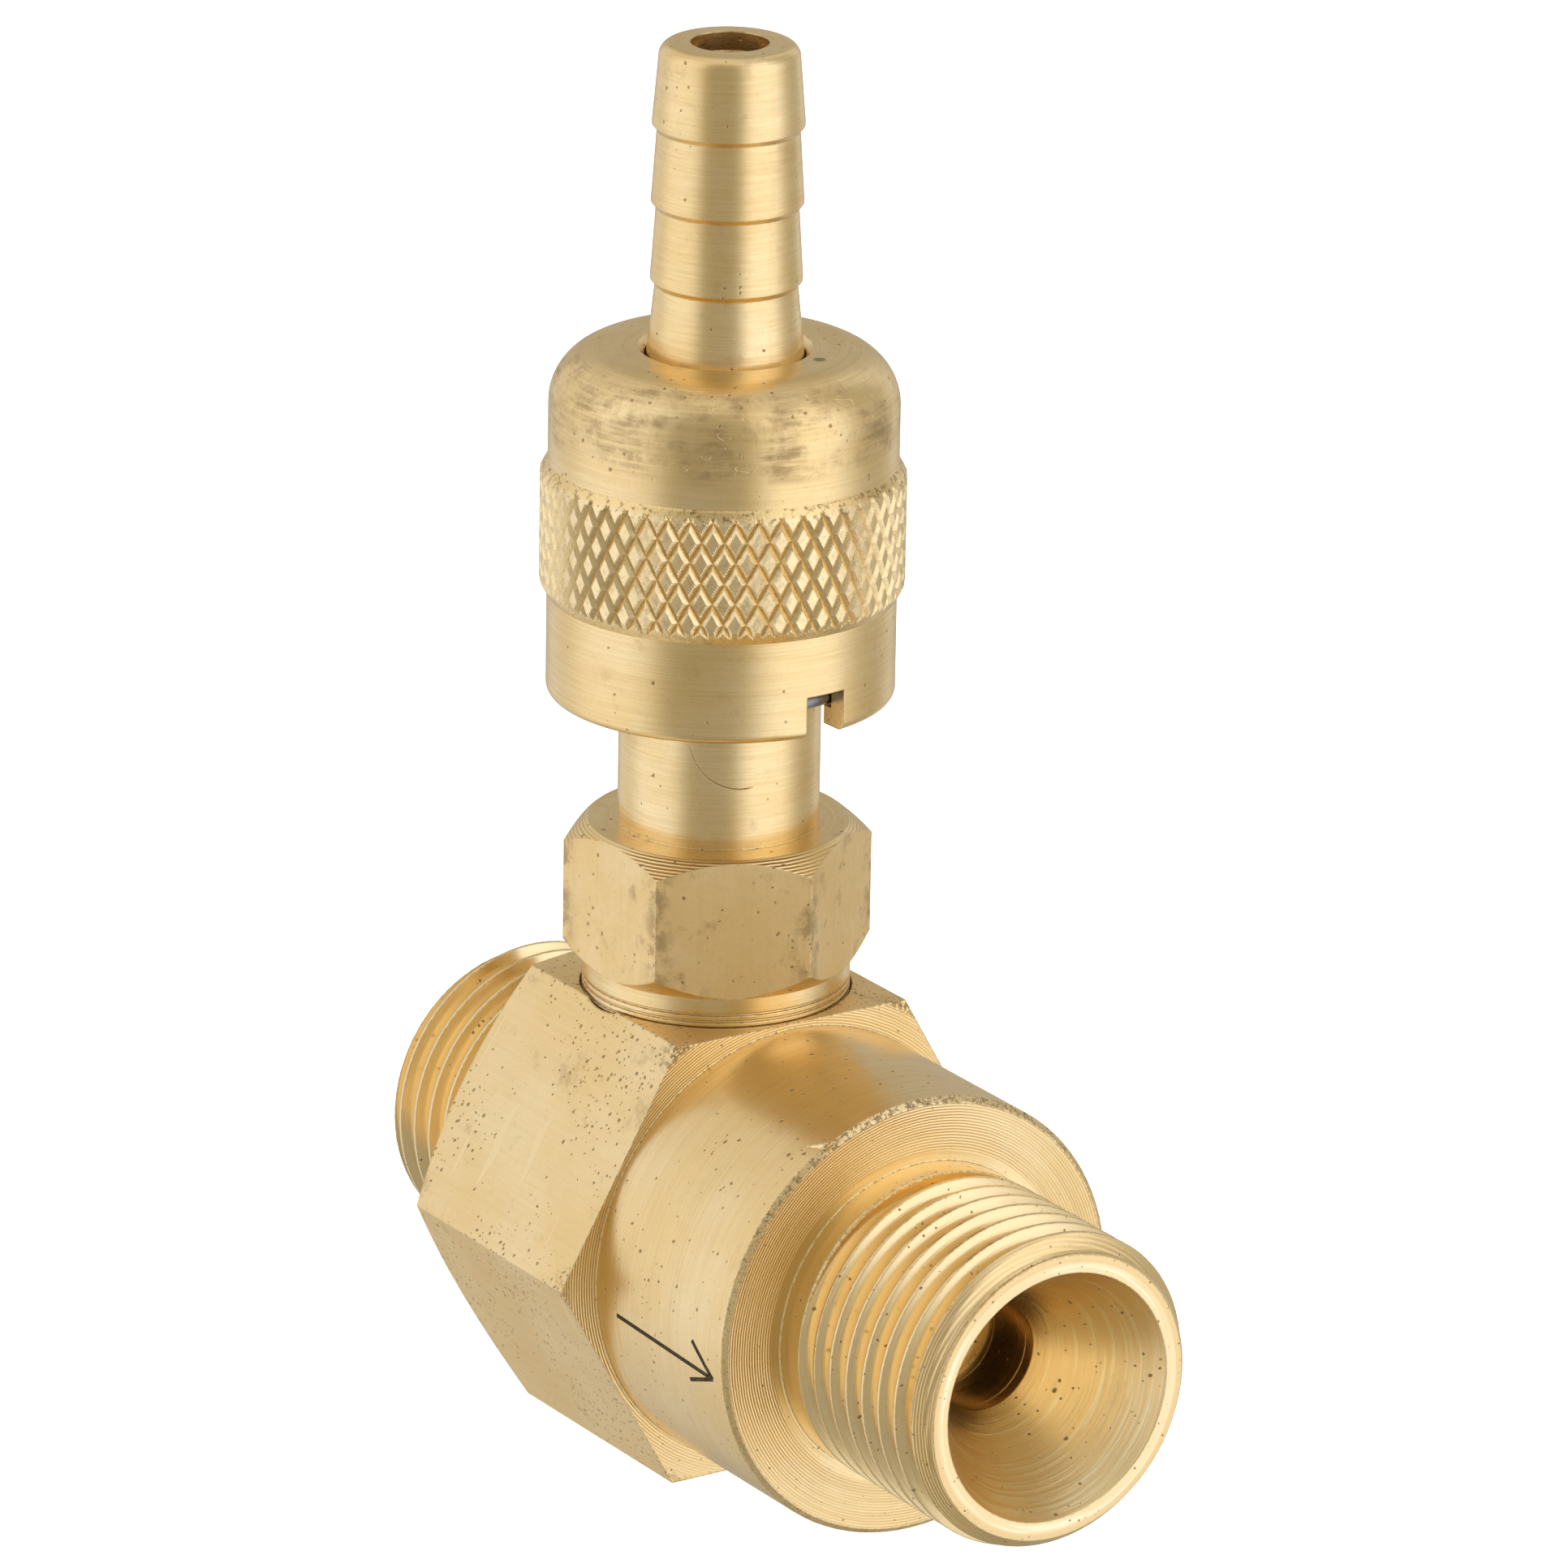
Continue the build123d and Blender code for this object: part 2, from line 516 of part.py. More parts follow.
def metering_needle():
    contact = (SEAT_D - 2 * SLIP_GAP) / 2
    head_drop = (NEEDLE_HEAD_D / 2 - contact) / tan_deg(NEEDLE_HALF_ANGLE)
    tip_drop = (contact - NEEDLE_TIP_D / 2) / tan_deg(NEEDLE_HALF_ANGLE)
    return turned(
        (0, SEAT_TOP - tip_drop),
        (NEEDLE_TIP_D / 2, SEAT_TOP - tip_drop),
        (NEEDLE_HEAD_D / 2, SEAT_TOP + head_drop),
        (NEEDLE_HEAD_D / 2, STEM_END),
        (NEEDLE_SHANK_D / 2, STEM_END),
        (NEEDLE_SHANK_D / 2, STEM_END + NEEDLE_SHANK_LENGTH),
        (0, STEM_END + NEEDLE_SHANK_LENGTH),
    )


def barb_outline():
    """The hose tail's outside, from the knob up to the nose."""
    points = [(JOURNAL_D / 2, JOURNAL_TOP)]
    lowest = BARB_TOP - BARB_FIRST - (BARB_COUNT - 1) * BARB_PITCH
    for number in range(BARB_COUNT):
        edge = lowest + number * BARB_PITCH
        points += [
            (BARB_ROOT_D / 2, edge - BARB_STEP),
            (BARB_D / 2, edge),
            (BARB_D / 2, edge + BARB_LAND),
        ]
    points.append((BARB_NOSE_D / 2, BARB_TOP - BARB_NOSE_ROUND))
    return points


def hose_barb_stem():
    half = STEM_D / 2
    nose = BARB_NOSE_D / 2 - BARB_NOSE_ROUND
    outline = [(0, STEM_END), (STEM_SLIM_D / 2, STEM_END), (STEM_SLIM_D / 2, STEM_SLIM_TOP)]
    outline.append((half, STEM_SLIM_TOP + (half - STEM_SLIM_D / 2)))
    for height in STEM_SEAL_HEIGHTS:
        outline += [
            (half, height - STEM_SEAL_WIDTH / 2),
            (STEM_SEAL_ROOT_D / 2, height - STEM_SEAL_WIDTH / 2),
            (STEM_SEAL_ROOT_D / 2, height + STEM_SEAL_WIDTH / 2),
            (half, height + STEM_SEAL_WIDTH / 2),
        ]
    outline += [
        (half, FLANGE_BOTTOM),
        (FLANGE_D / 2, FLANGE_BOTTOM),
        (FLANGE_D / 2, FLANGE_TOP),
        (JOURNAL_D / 2, FLANGE_TOP),
    ]
    outline += barb_outline()
    side = Polyline(*outline)
    shoulder = ThreePointArc(
        outline[-1],
        (nose + BARB_NOSE_ROUND * cos(radians(45)), BARB_TOP - BARB_NOSE_ROUND * (1 - sin(radians(45)))),
        (nose, BARB_TOP),
    )
    top = Polyline((nose, BARB_TOP), (0, BARB_TOP), (0, STEM_END))
    stem = revolve(Plane.XZ * make_face([side, shoulder, top]), axis=Axis.Z)
    stem -= rod(BARB_BORE_D, BARB_TOP - BARB_LIP_DEPTH, BARB_TOP + 1)
    stem -= rod(BARB_LIP_D, BARB_TOP - BARB_BORE_DEPTH, BARB_TOP)
    stem -= rod(STEM_BORE_D, STEM_END + CROSS_HOLE_HEIGHT - CROSS_HOLE_D / 2, BARB_TOP)
    stem -= rod(NEEDLE_SHANK_D, STEM_END - 1, STEM_END + NEEDLE_SHANK_LENGTH)
    cross = Cylinder(CROSS_HOLE_D / 2, STEM_SLIM_D + 2)
    stem -= Pos(0, 0, STEM_END + CROSS_HOLE_HEIGHT) * Rot(0, 90, 0) * cross
    return stem


def stem_o_ring(height):
    outer = STEM_BORE_GAP_D - 2 * SEAL_GAP
    return o_ring(outer, (outer - STEM_SEAL_ROOT_D) / 2, height)


def thrust_washer(bottom, thickness):
    return tube(KNOB_CAVITY_D - 2 * RUN_GAP, JOURNAL_D + 2 * RUN_GAP, bottom, bottom + thickness)


def wedge(angle, reach, height):
    """Upright wedge of the given angle, centred on +X, for opening a ring."""
    half = radians(angle / 2)
    corner = (reach * cos(half), reach * sin(half))
    face = make_face(Polyline((0, 0), corner, (reach, 0), (corner[0], -corner[1]), close=True))
    return Pos(0, 0, -height / 2) * extrude(face, amount=height)


def stem_retaining_ring():
    ring = tube(CIRCLIP_OUTER_D, CIRCLIP_INNER_D, CIRCLIP_BOTTOM, CIRCLIP_TOP)
    middle = (CIRCLIP_BOTTOM + CIRCLIP_TOP) / 2
    return ring - Pos(0, 0, middle) * wedge(CIRCLIP_GAP_ANGLE, CIRCLIP_OUTER_D, 3 * CIRCLIP_THICKNESS)


def knob_snap_ring():
    """Round wire ring in the knob's skirt. It shows in the notch, and its own opening is
    on the far side."""
    ring = o_ring(SNAP_OUTER_D, SNAP_WIRE_D, SNAP_Z)
    opening = Rot(0, 0, NOTCH_ANGLE + 180) * wedge(SNAP_GAP_ANGLE, SNAP_OUTER_D, 3 * SNAP_WIRE_D)
    return ring - Pos(0, 0, SNAP_Z) * opening


def knob_blank():
    """The knob's outside, with the plain band that carries the knurl."""
    knurl_top = KNURL_BOTTOM + KNURL_HEIGHT
    knob = rod(KNOB_D, KNOB_RIM, KNOB_TOP)
    knob = fillet(knob.edges().sort_by(Axis.Z)[-1], KNOB_TOP_ROUND)
    knob = fillet(knob.edges().sort_by(Axis.Z)[0], KNOB_RIM_ROUND)
    return knob + turned(
        (0, KNOB_RIM + KNURL_BOTTOM),
        (KNOB_D / 2, KNOB_RIM + KNURL_BOTTOM),
        (KNURL_D / 2, KNOB_RIM + KNURL_BOTTOM + KNURL_CHAMFER),
        (KNURL_D / 2, KNOB_RIM + knurl_top - KNURL_CHAMFER),
        (KNOB_D / 2, KNOB_RIM + knurl_top),
        (0, KNOB_RIM + knurl_top),
    )


def control_knob():
    knob = knob_blank()
    thread_bore = NECK_THREAD_D - 2 * STEM_THREAD_DEPTH + 2 * THREAD_GAP
    groove = SNAP_OUTER_D + 2 * SNAP_GROOVE_EXTRA
    groove_half = SNAP_WIRE_D / 2 + SNAP_GROOVE_EXTRA
    knob -= rod(KNOB_SKIRT_BORE_D, KNOB_RIM - 1, KNOB_THREAD_BOTTOM)
    knob -= rod(groove, SNAP_Z - groove_half, SNAP_Z + groove_half)
    knob -= rod(KNOB_RELIEF_D, KNOB_THREAD_TOP - KNOB_RELIEF_HEIGHT, KNOB_THREAD_TOP)
    knob -= rod(KNOB_CAVITY_D, KNOB_THREAD_TOP, KNOB_SHOULDER)
    knob -= rod(CIRCLIP_OUTER_D, CIRCLIP_BOTTOM, CIRCLIP_TOP)
    knob -= turned(
        (0, KNOB_SHOULDER),
        (KNOB_HOLE_D / 2, KNOB_SHOULDER),
        (KNOB_HOLE_D / 2, KNOB_TOP - KNOB_HOLE_EDGE),
        (KNOB_HOLE_D / 2 + KNOB_HOLE_EDGE, KNOB_TOP),
        (0, KNOB_TOP),
    )
    knob -= knob_thread(thread_bore)
    notch = Box(KNOB_D, NOTCH_WIDTH, NOTCH_HEIGHT, align=(Align.MIN, Align.CENTER, Align.MIN))
    return knob - Rot(0, 0, NOTCH_ANGLE) * Pos(0, 0, KNOB_RIM) * notch


def knob_thread(bore):
    """Cutter for the knob's thread: its bore and the path of the neck's ridge, with room
    all round. The ridge's phase is the neck's own."""
    turns_below = int((NECK_SHOULDER - KNOB_THREAD_BOTTOM) / STEM_PITCH) + 2
    start = NECK_SHOULDER - STEM_PITCH * turns_below
    ridge = thread_ridge(bore, STEM_PITCH, start, KNOB_THREAD_TOP, stem_thread_outline(bore, THREAD_GAP))
    return rod(bore, start, KNOB_THREAD_TOP) + ridge


parts = {
    "injector_body": injector_body(),
    "inlet_nozzle": inlet_nozzle(),
    "nozzle_o_ring": nozzle_o_ring(),
    "diffuser": diffuser(),
    "valve_bonnet": valve_bonnet(),
    "bonnet_o_ring": bonnet_o_ring(),
    "ball_seat_o_ring": ball_seat_o_ring(),
    "check_ball": check_ball(),
    "check_spring": check_spring(),
    "metering_needle": metering_needle(),
    "hose_barb_stem": hose_barb_stem(),
    "stem_o_ring_lower": stem_o_ring(STEM_SEAL_HEIGHTS[0]),
    "stem_o_ring_upper": stem_o_ring(STEM_SEAL_HEIGHTS[1]),
    "control_knob": control_knob(),
    "thrust_washer_upper": thrust_washer(WASHER_UPPER_BOTTOM, WASHER_UPPER),
    "thrust_washer_lower": thrust_washer(CIRCLIP_TOP, WASHER_LOWER),
    "stem_retaining_ring": stem_retaining_ring(),
    "knob_snap_ring": knob_snap_ring(),
}

os.makedirs("parts", exist_ok=True)
for name, solid in parts.items():
    export_step(solid, f"parts/{name}.step")
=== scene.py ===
import math
import bpy
from mathutils import Matrix, Vector


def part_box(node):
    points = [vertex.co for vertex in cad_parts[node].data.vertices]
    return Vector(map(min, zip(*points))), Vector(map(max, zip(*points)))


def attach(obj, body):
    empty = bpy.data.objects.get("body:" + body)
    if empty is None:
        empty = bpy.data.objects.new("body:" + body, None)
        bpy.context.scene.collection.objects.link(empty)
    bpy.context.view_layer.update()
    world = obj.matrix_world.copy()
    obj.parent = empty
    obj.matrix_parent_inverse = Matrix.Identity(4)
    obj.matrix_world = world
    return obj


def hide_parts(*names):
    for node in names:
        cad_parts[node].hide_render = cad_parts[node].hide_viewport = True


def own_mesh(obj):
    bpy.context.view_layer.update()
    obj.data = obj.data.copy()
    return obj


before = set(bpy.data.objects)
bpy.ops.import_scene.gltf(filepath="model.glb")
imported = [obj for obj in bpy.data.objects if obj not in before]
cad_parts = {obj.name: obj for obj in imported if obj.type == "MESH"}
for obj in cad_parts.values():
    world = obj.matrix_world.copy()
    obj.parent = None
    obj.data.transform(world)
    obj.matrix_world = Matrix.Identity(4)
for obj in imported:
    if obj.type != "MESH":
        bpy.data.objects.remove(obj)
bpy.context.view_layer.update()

# Looks for the brass injector needle valve. Everything is in metres, in the frame of the
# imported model: +X along the flow, +Z up the stem, origin on the bottom flat.

MM = 0.001

# ---------------------------------------------------------------- places from the frame
BODY_LOW, BODY_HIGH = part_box("injector_body")
KNOB_LOW, KNOB_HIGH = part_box("control_knob")
AXIS_Z = (BODY_LOW.z + BODY_HIGH.z) / 2
BODY_FLAT = BODY_HIGH.z - AXIS_Z            # the hexagon's inscribed radius
KNURL_RADIUS = KNOB_HIGH.x

# Sizes that the boxes don't give, as in the CAD source.
HEX_FRONT = 9.1 * MM
COLLAR_END = 24.1 * MM
COLLAR_RADIUS = 14.625 * MM
THREAD_RADIUS = 10.4775 * MM
END_RADIUS = 9.4 * MM
NECK_RADIUS = 6.5 * MM
BONNET_FLAT = 8.65 * MM
BONNET_HEX = (31.95 * MM, 41.25 * MM)
KNURL_RISE = 0.5 * MM
KNURL_BAND = (6.7 * MM, 15.6 * MM)          # above the knob's rim
KNURL_CHAMFER = 0.9 * MM
KNURL_TOP = KNOB_LOW.z + KNURL_BAND[1]
PLAIN_RADIUS = KNURL_RADIUS - KNURL_RISE

# ---------------------------------------------------------------- camera and studio
CAMERA_AZIMUTH = math.radians(-33.37)
CAMERA_ELEVATION = math.radians(19.2)
CAMERA_ROLL = math.radians(0.995)
CAMERA_DISTANCE = 0.6898
CAMERA_AIM = Vector((2.31, 3.50, 43.56)) * MM
CAMERA_LENS = 246.54
SENSOR_WIDTH = 36.0
CAMERA_CLIP = 0.01

AMBIENT = 0.80
# Degrees from the camera, half width, feather, gain. Negative gains are dark cards.
SOFTBOXES = [
    (-78.0, 14.0, 32.0, 0.30),
    (57.0, 16.0, 24.0, 0.48),
    (180.0, 14.0, 20.0, -0.30),
    (-10.0, 20.0, 22.0, -0.37),
    (118.0, 6.0, 26.0, -0.28),
]
# Heights on the sky's unit sphere where the walls turn into the roof, and where they end.
TENT_TOP = (0.7, 1.0)
TENT_FOOT = (-2.2, -0.2)
TOP_LIGHT = 0.80
# The tent's dim parts are lit by bounced, warmer light than its softboxes.
DIM_LIGHT = (1.0, 0.95, 0.82, 1)
FULL_LIGHT = (1.0, 1.02, 1.10, 1)
HUE_RANGE = (0.4, 1.15)

FLOOR_RADIUS = 3.0
FLOOR_GAP = 0.05 * MM
FLOOR_CLOUDS_PER_METRE = 6.0
FLOOR_SHADES = (0.90, 0.94)
FLOOR_GLOW = 0.85


def make_camera():
    camera = bpy.data.objects.new("camera", bpy.data.cameras.new("camera"))
    bpy.context.scene.collection.objects.link(camera)
    camera.data.lens = CAMERA_LENS
    camera.data.sensor_width = SENSOR_WIDTH
    camera.data.clip_start = CAMERA_CLIP
    flat = math.cos(CAMERA_ELEVATION)
    back = Vector((
        flat * math.cos(CAMERA_AZIMUTH),
        flat * math.sin(CAMERA_AZIMUTH),
        math.sin(CAMERA_ELEVATION),
    ))
    turn = back.to_track_quat("Z", "Y").to_matrix().to_4x4()
    place = Matrix.Translation(CAMERA_AIM + back * CAMERA_DISTANCE)
    camera.matrix_world = place @ turn @ Matrix.Rotation(CAMERA_ROLL, 4, "Z")
    bpy.context.scene.camera = camera


# ---------------------------------------------------------------- node trees
class Tree:
    """A node tree being built. Each call adds a node and returns its main output."""

    def __init__(self, tree):
        self.tree = tree
        self.tree.nodes.clear()

    def add(self, kind, inputs=None, **settings):
        node = self.tree.nodes.new(kind)
        for name, value in settings.items():
            setattr(node, name, value)
        for name, value in (inputs or {}).items():
            self.feed(node.inputs[name], value)
        return node

    def feed(self, socket, value):
        if isinstance(value, bpy.types.NodeSocket):
            self.tree.links.new(value, socket)
        else:
            socket.default_value = value

    def math(self, operation, a, b=0.0, c=0.0):
        node = self.add("ShaderNodeMath", operation=operation)
        for socket, value in zip(node.inputs, (a, b, c)):
            self.feed(socket, value)
        return node.outputs[0]

    def times(self, first, *others):
        """The product of the values."""
        for other in others:
            first = self.math("MULTIPLY", first, other)
        return first

    def most(self, first, *others):
        """The largest of the values."""
        for other in others:
            first = self.math("MAXIMUM", first, other)
        return first

    def plus(self, base, gain, value):
        """base + gain * value."""
        return self.math("MULTIPLY_ADD", value, gain, base)

    def length(self, a, b):
        """The length of a vector with parts a and b."""
        return self.math("SQRT", self.plus(self.times(a, a), b, b))

    def vector_math(self, operation, a, b, output="Vector"):
        node = self.add("ShaderNodeVectorMath", operation=operation)
        self.feed(node.inputs[0], a)
        self.feed(node.inputs["Scale"] if operation == "SCALE" else node.inputs[1], b)
        return node.outputs[output]

    def blend(self, factor, low, high):
        """low to high as factor goes from 0 to 1, for numbers."""
        node = self.add("ShaderNodeMix", {"Factor": factor}, data_type="FLOAT")
        self.feed(node.inputs[2], low)
        self.feed(node.inputs[3], high)
        return node.outputs[0]

    def tint(self, factor, low, high):
        """low to high as factor goes from 0 to 1, for colours."""
        node = self.add("ShaderNodeMix", {"Factor": factor}, data_type="RGBA")
        self.feed(node.inputs[6], low)
        self.feed(node.inputs[7], high)
        return node.outputs[2]

    def step(self, value, empty, full):
        """0 at empty, 1 at full and smooth between. empty may be the larger one."""
        inputs = {"Value": value, "From Min": empty, "From Max": full}
        return self.add("ShaderNodeMapRange", inputs, interpolation_type="SMOOTHSTEP").outputs[0]

    def between(self, value, low, high, feather):
        """1 from low to high, fading to 0 over feather outside them."""
        return self.times(
            self.step(value, low - feather, low),
            self.step(value, high + feather, high),
        )

    def vector(self, x, y, z):
        return self.add("ShaderNodeCombineXYZ", {"X": x, "Y": y, "Z": z}).outputs[0]

    def noise(self, place, scale, detail, roughness=0.5, w=None):
        inputs = {"Vector": place, "Scale": scale, "Detail": detail, "Roughness": roughness}
        kind = "3D"
        if w is not None:
            inputs["W"] = w
            kind = "4D"
        return self.add("ShaderNodeTexNoise", inputs, noise_dimensions=kind).outputs["Fac"]


def make_world():
    """Soft white studio: a pale tent with a large softbox each side of the camera, and
    darker cards between them."""
    world = bpy.data.worlds.new("studio")
    bpy.context.scene.world = world
    world.use_nodes = True
    t = Tree(world.node_tree)
    way = t.add("ShaderNodeTexCoord").outputs["Generated"]
    split = t.add("ShaderNodeSeparateXYZ", {"Vector": way}).outputs
    azimuth = t.math("ARCTAN2", split["Y"], split["X"])
    light = AMBIENT
    for centre, half_width, feather, gain in SOFTBOXES:
        middle = CAMERA_AZIMUTH + math.radians(centre)
        off = t.math("WRAP", t.math("SUBTRACT", azimuth, middle), math.pi, -math.pi)
        inner = math.radians(half_width)
        lobe = t.step(t.math("ABSOLUTE", off), inner + math.radians(feather), inner)
        light = t.plus(light, gain, lobe)
    light = t.blend(t.step(split["Z"], *TENT_TOP), light, TOP_LIGHT)
    light = t.times(light, t.step(split["Z"], *TENT_FOOT))
    hue = t.tint(t.step(light, *HUE_RANGE), DIM_LIGHT, FULL_LIGHT)
    shade = t.add("ShaderNodeBackground", {"Color": hue, "Strength": light})
    out = t.add("ShaderNodeOutputWorld")
    t.tree.links.new(shade.outputs[0], out.inputs["Surface"])


def make_floor():
    """Plain pale floor. Reflections in the metal see the studio's tent in its place."""
    bpy.ops.mesh.primitive_circle_add(vertices=96, radius=FLOOR_RADIUS, fill_type="NGON")
    floor = bpy.context.object
    floor.name = "floor"
    floor.location.z = BODY_LOW.z - FLOOR_GAP
    floor.visible_glossy = False
    material = bpy.data.materials.new("floor")
    material.use_nodes = True
    t = Tree(material.node_tree)
    shader = t.add("ShaderNodeBsdfPrincipled")
    place = t.add("ShaderNodeTexCoord").outputs["Object"]
    cloud = t.noise(place, FLOOR_CLOUDS_PER_METRE, 3.0)
    shade = t.blend(cloud, *FLOOR_SHADES)
    t.feed(shader.inputs["Base Color"], t.vector(shade, shade, shade))
    shader.inputs["Roughness"].default_value = 0.9
    shader.inputs["Specular IOR Level"].default_value = 0.1
    shader.inputs["Emission Color"].default_value = (1, 1, 1, 1)
    shader.inputs["Emission Strength"].default_value = FLOOR_GLOW
    out = t.add("ShaderNodeOutputMaterial")
    t.tree.links.new(shader.outputs[0], out.inputs["Surface"])
    floor.data.materials.append(material)


# ---------------------------------------------------------------- brass
BRASS = (0.87, 0.64, 0.30, 1)
BRASS_PALE = (0.92, 0.72, 0.40, 1)
BRASS_BRIGHT = (0.97, 0.86, 0.58, 1)
BRASS_DEEP = (0.60, 0.37, 0.12, 1)
TARNISH = (0.25, 0.155, 0.065, 1)

# Where a face is told by its normal's share along the axis: a side face, an end face.
SIDE_FACING = (0.3, 0.1)
SQUARE_FACING = (0.9, 0.98)

# Cloudy masks: cells per mm, detail, roughness, and the noise's levels at 0 and at 1.
GRAIN = (4.5, 3.0, 0.7, 0.56, 0.70)
BODY_SMUDGES = (0.33, 5.0, 0.72, 0.55, 0.75)
BODY_PITTED = (0.12, 3.0, 0.5, 0.40, 0.62)
BODY_GRIT = (3.2, 4.0, 0.75, 0.47, 0.60)
UPRIGHT_SMUDGES = (0.5, 5.0, 0.7, 0.55, 0.74)
UPRIGHT_BLOTCHES = (0.7, 5.0, 0.7, 0.44, 0.62)
UPRIGHT_PITTED = (0.16, 2.0, 0.5, 0.42, 0.66)
UPRIGHT_GRIT = (3.0, 3.0, 0.7, 0.48, 0.62)
KNOB_SCUFFS = (0.3, 6.0, 0.72, 0.38, 0.66)
INSERT_STAINS = (0.6, 4.0, 0.6, 0.45, 0.70)
STEEL_CLOUDS = (0.8, 4.0, 0.6, 0.30, 0.75)
DUST = (0.5, 3.0, 0.6, 0.40, 0.75)

VALLEY = (0.45, 0.05)           # heights of a ridge below which it is a valley
TRACE = (0.62, 0.32)            # levels of the tool's lines below which they hold tarnish
RING_WOBBLE = 2.2               # radians that a facing cut's rings stray
SPECK_LEAST = 0.14              # a pit's radius, as a share of the pits' spacing
SPECK_SPREAD = 0.20

# The body's regions, as radii from the flow axis and places along it. Each pair is where
# the region's mask is 0 and where it is 1.
FACED_RADII = (10.9 * MM, 11.3 * MM)
END_CUT = (BODY_HIGH.x - 1.4 * MM, BODY_HIGH.x - 1.1 * MM)
CONE_MOUTH = (END_RADIUS, END_RADIUS - 0.3 * MM)
CONE_FOOT = (3.7 * MM, 4.2 * MM)
BORE_RADII = (4.2 * MM, 3.5 * MM)
THREAD_OUTER = (10.55 * MM, 10.5 * MM)
THREAD_INNER = (8.9 * MM, 9.0 * MM)
THREAD_ROOT = (THREAD_RADIUS - 0.25 * MM, THREAD_RADIUS - 1.1 * MM)
COLLAR_LIP_RADII = (COLLAR_RADIUS - 0.6 * MM, COLLAR_RADIUS - 0.25 * MM)
HEX_CORNER_RADII = (16.2 * MM, 17.0 * MM)
HEX_CORNER_ALONG = (HEX_FRONT - 2.2 * MM, HEX_FRONT - 0.2 * MM)
COLLAR_LIP = (COLLAR_END - 0.3 * MM, COLLAR_END + 0.1 * MM, 0.15 * MM)  # low, high, feather

# Pitches of the ridges left on the faces, the end chamfers and the bonnet's chamfer.
FACE_PITCH = 0.19 * MM
END_PITCH = 0.15 * MM
CHAMFER_PITCH = 0.20 * MM

# Where the knob is scuffed by handling, and the knurl's deep and shallow radii, over which its
# grooves' painted shade fades to the paler tops.
KNOB_WORN = (KNOB_HIGH.z - 5.0 * MM, KNOB_HIGH.z - 0.7 * MM)
WEAR_RADII = (8.6 * MM, 9.6 * MM)
KNURL_SHADE_RADII = (KNURL_RADIUS - 0.3 * MM, KNURL_RADIUS - 0.05 * MM)

# A drop of greenish stain on the knob's top, beside the hole.
STAIN_PLACE = (5.54 * MM, 3.51 * MM)
STAIN_RADIUS = 0.42 * MM
STAIN = (0.16, 0.13, 0.035, 1)

# A thin curved scratch round the neck: a circle's arc, in distances round and up the neck.
SCRATCH_CENTRE = (-2.3 * MM, 48.7 * MM)
SCRATCH_RADIUS = 3.35 * MM
SCRATCH_WIDTH = 0.07 * MM
SCRATCH_END_ROUND = (0.9 * MM, 0.3 * MM)
SCRATCH_END_UP = (-0.3 * MM, -0.9 * MM)

RUBBER = (0.015, 0.015, 0.015)
RUBBER_DUSTY = (0.045, 0.045, 0.045)
PLASTIC = (0.80, 0.78, 0.72)
PLASTIC_DULL = (0.66, 0.63, 0.56)
# Steels: tone and roughness.
RING_STEEL = ((0.36, 0.36, 0.38), 0.34)
BALL_STEEL = ((0.74, 0.74, 0.76), 0.12)
SPRING_STEEL = ((0.60, 0.60, 0.62), 0.28)
NEEDLE_STEEL = ((0.68, 0.68, 0.70), 0.22)
LINE_DEPTH = 0.01 * MM
BALL_LINE_DEPTH = 0.002 * MM
MARK_DARK = (0.030, 0.020, 0.010, 1)
MARK_LIGHT = (0.16, 0.105, 0.045, 1)


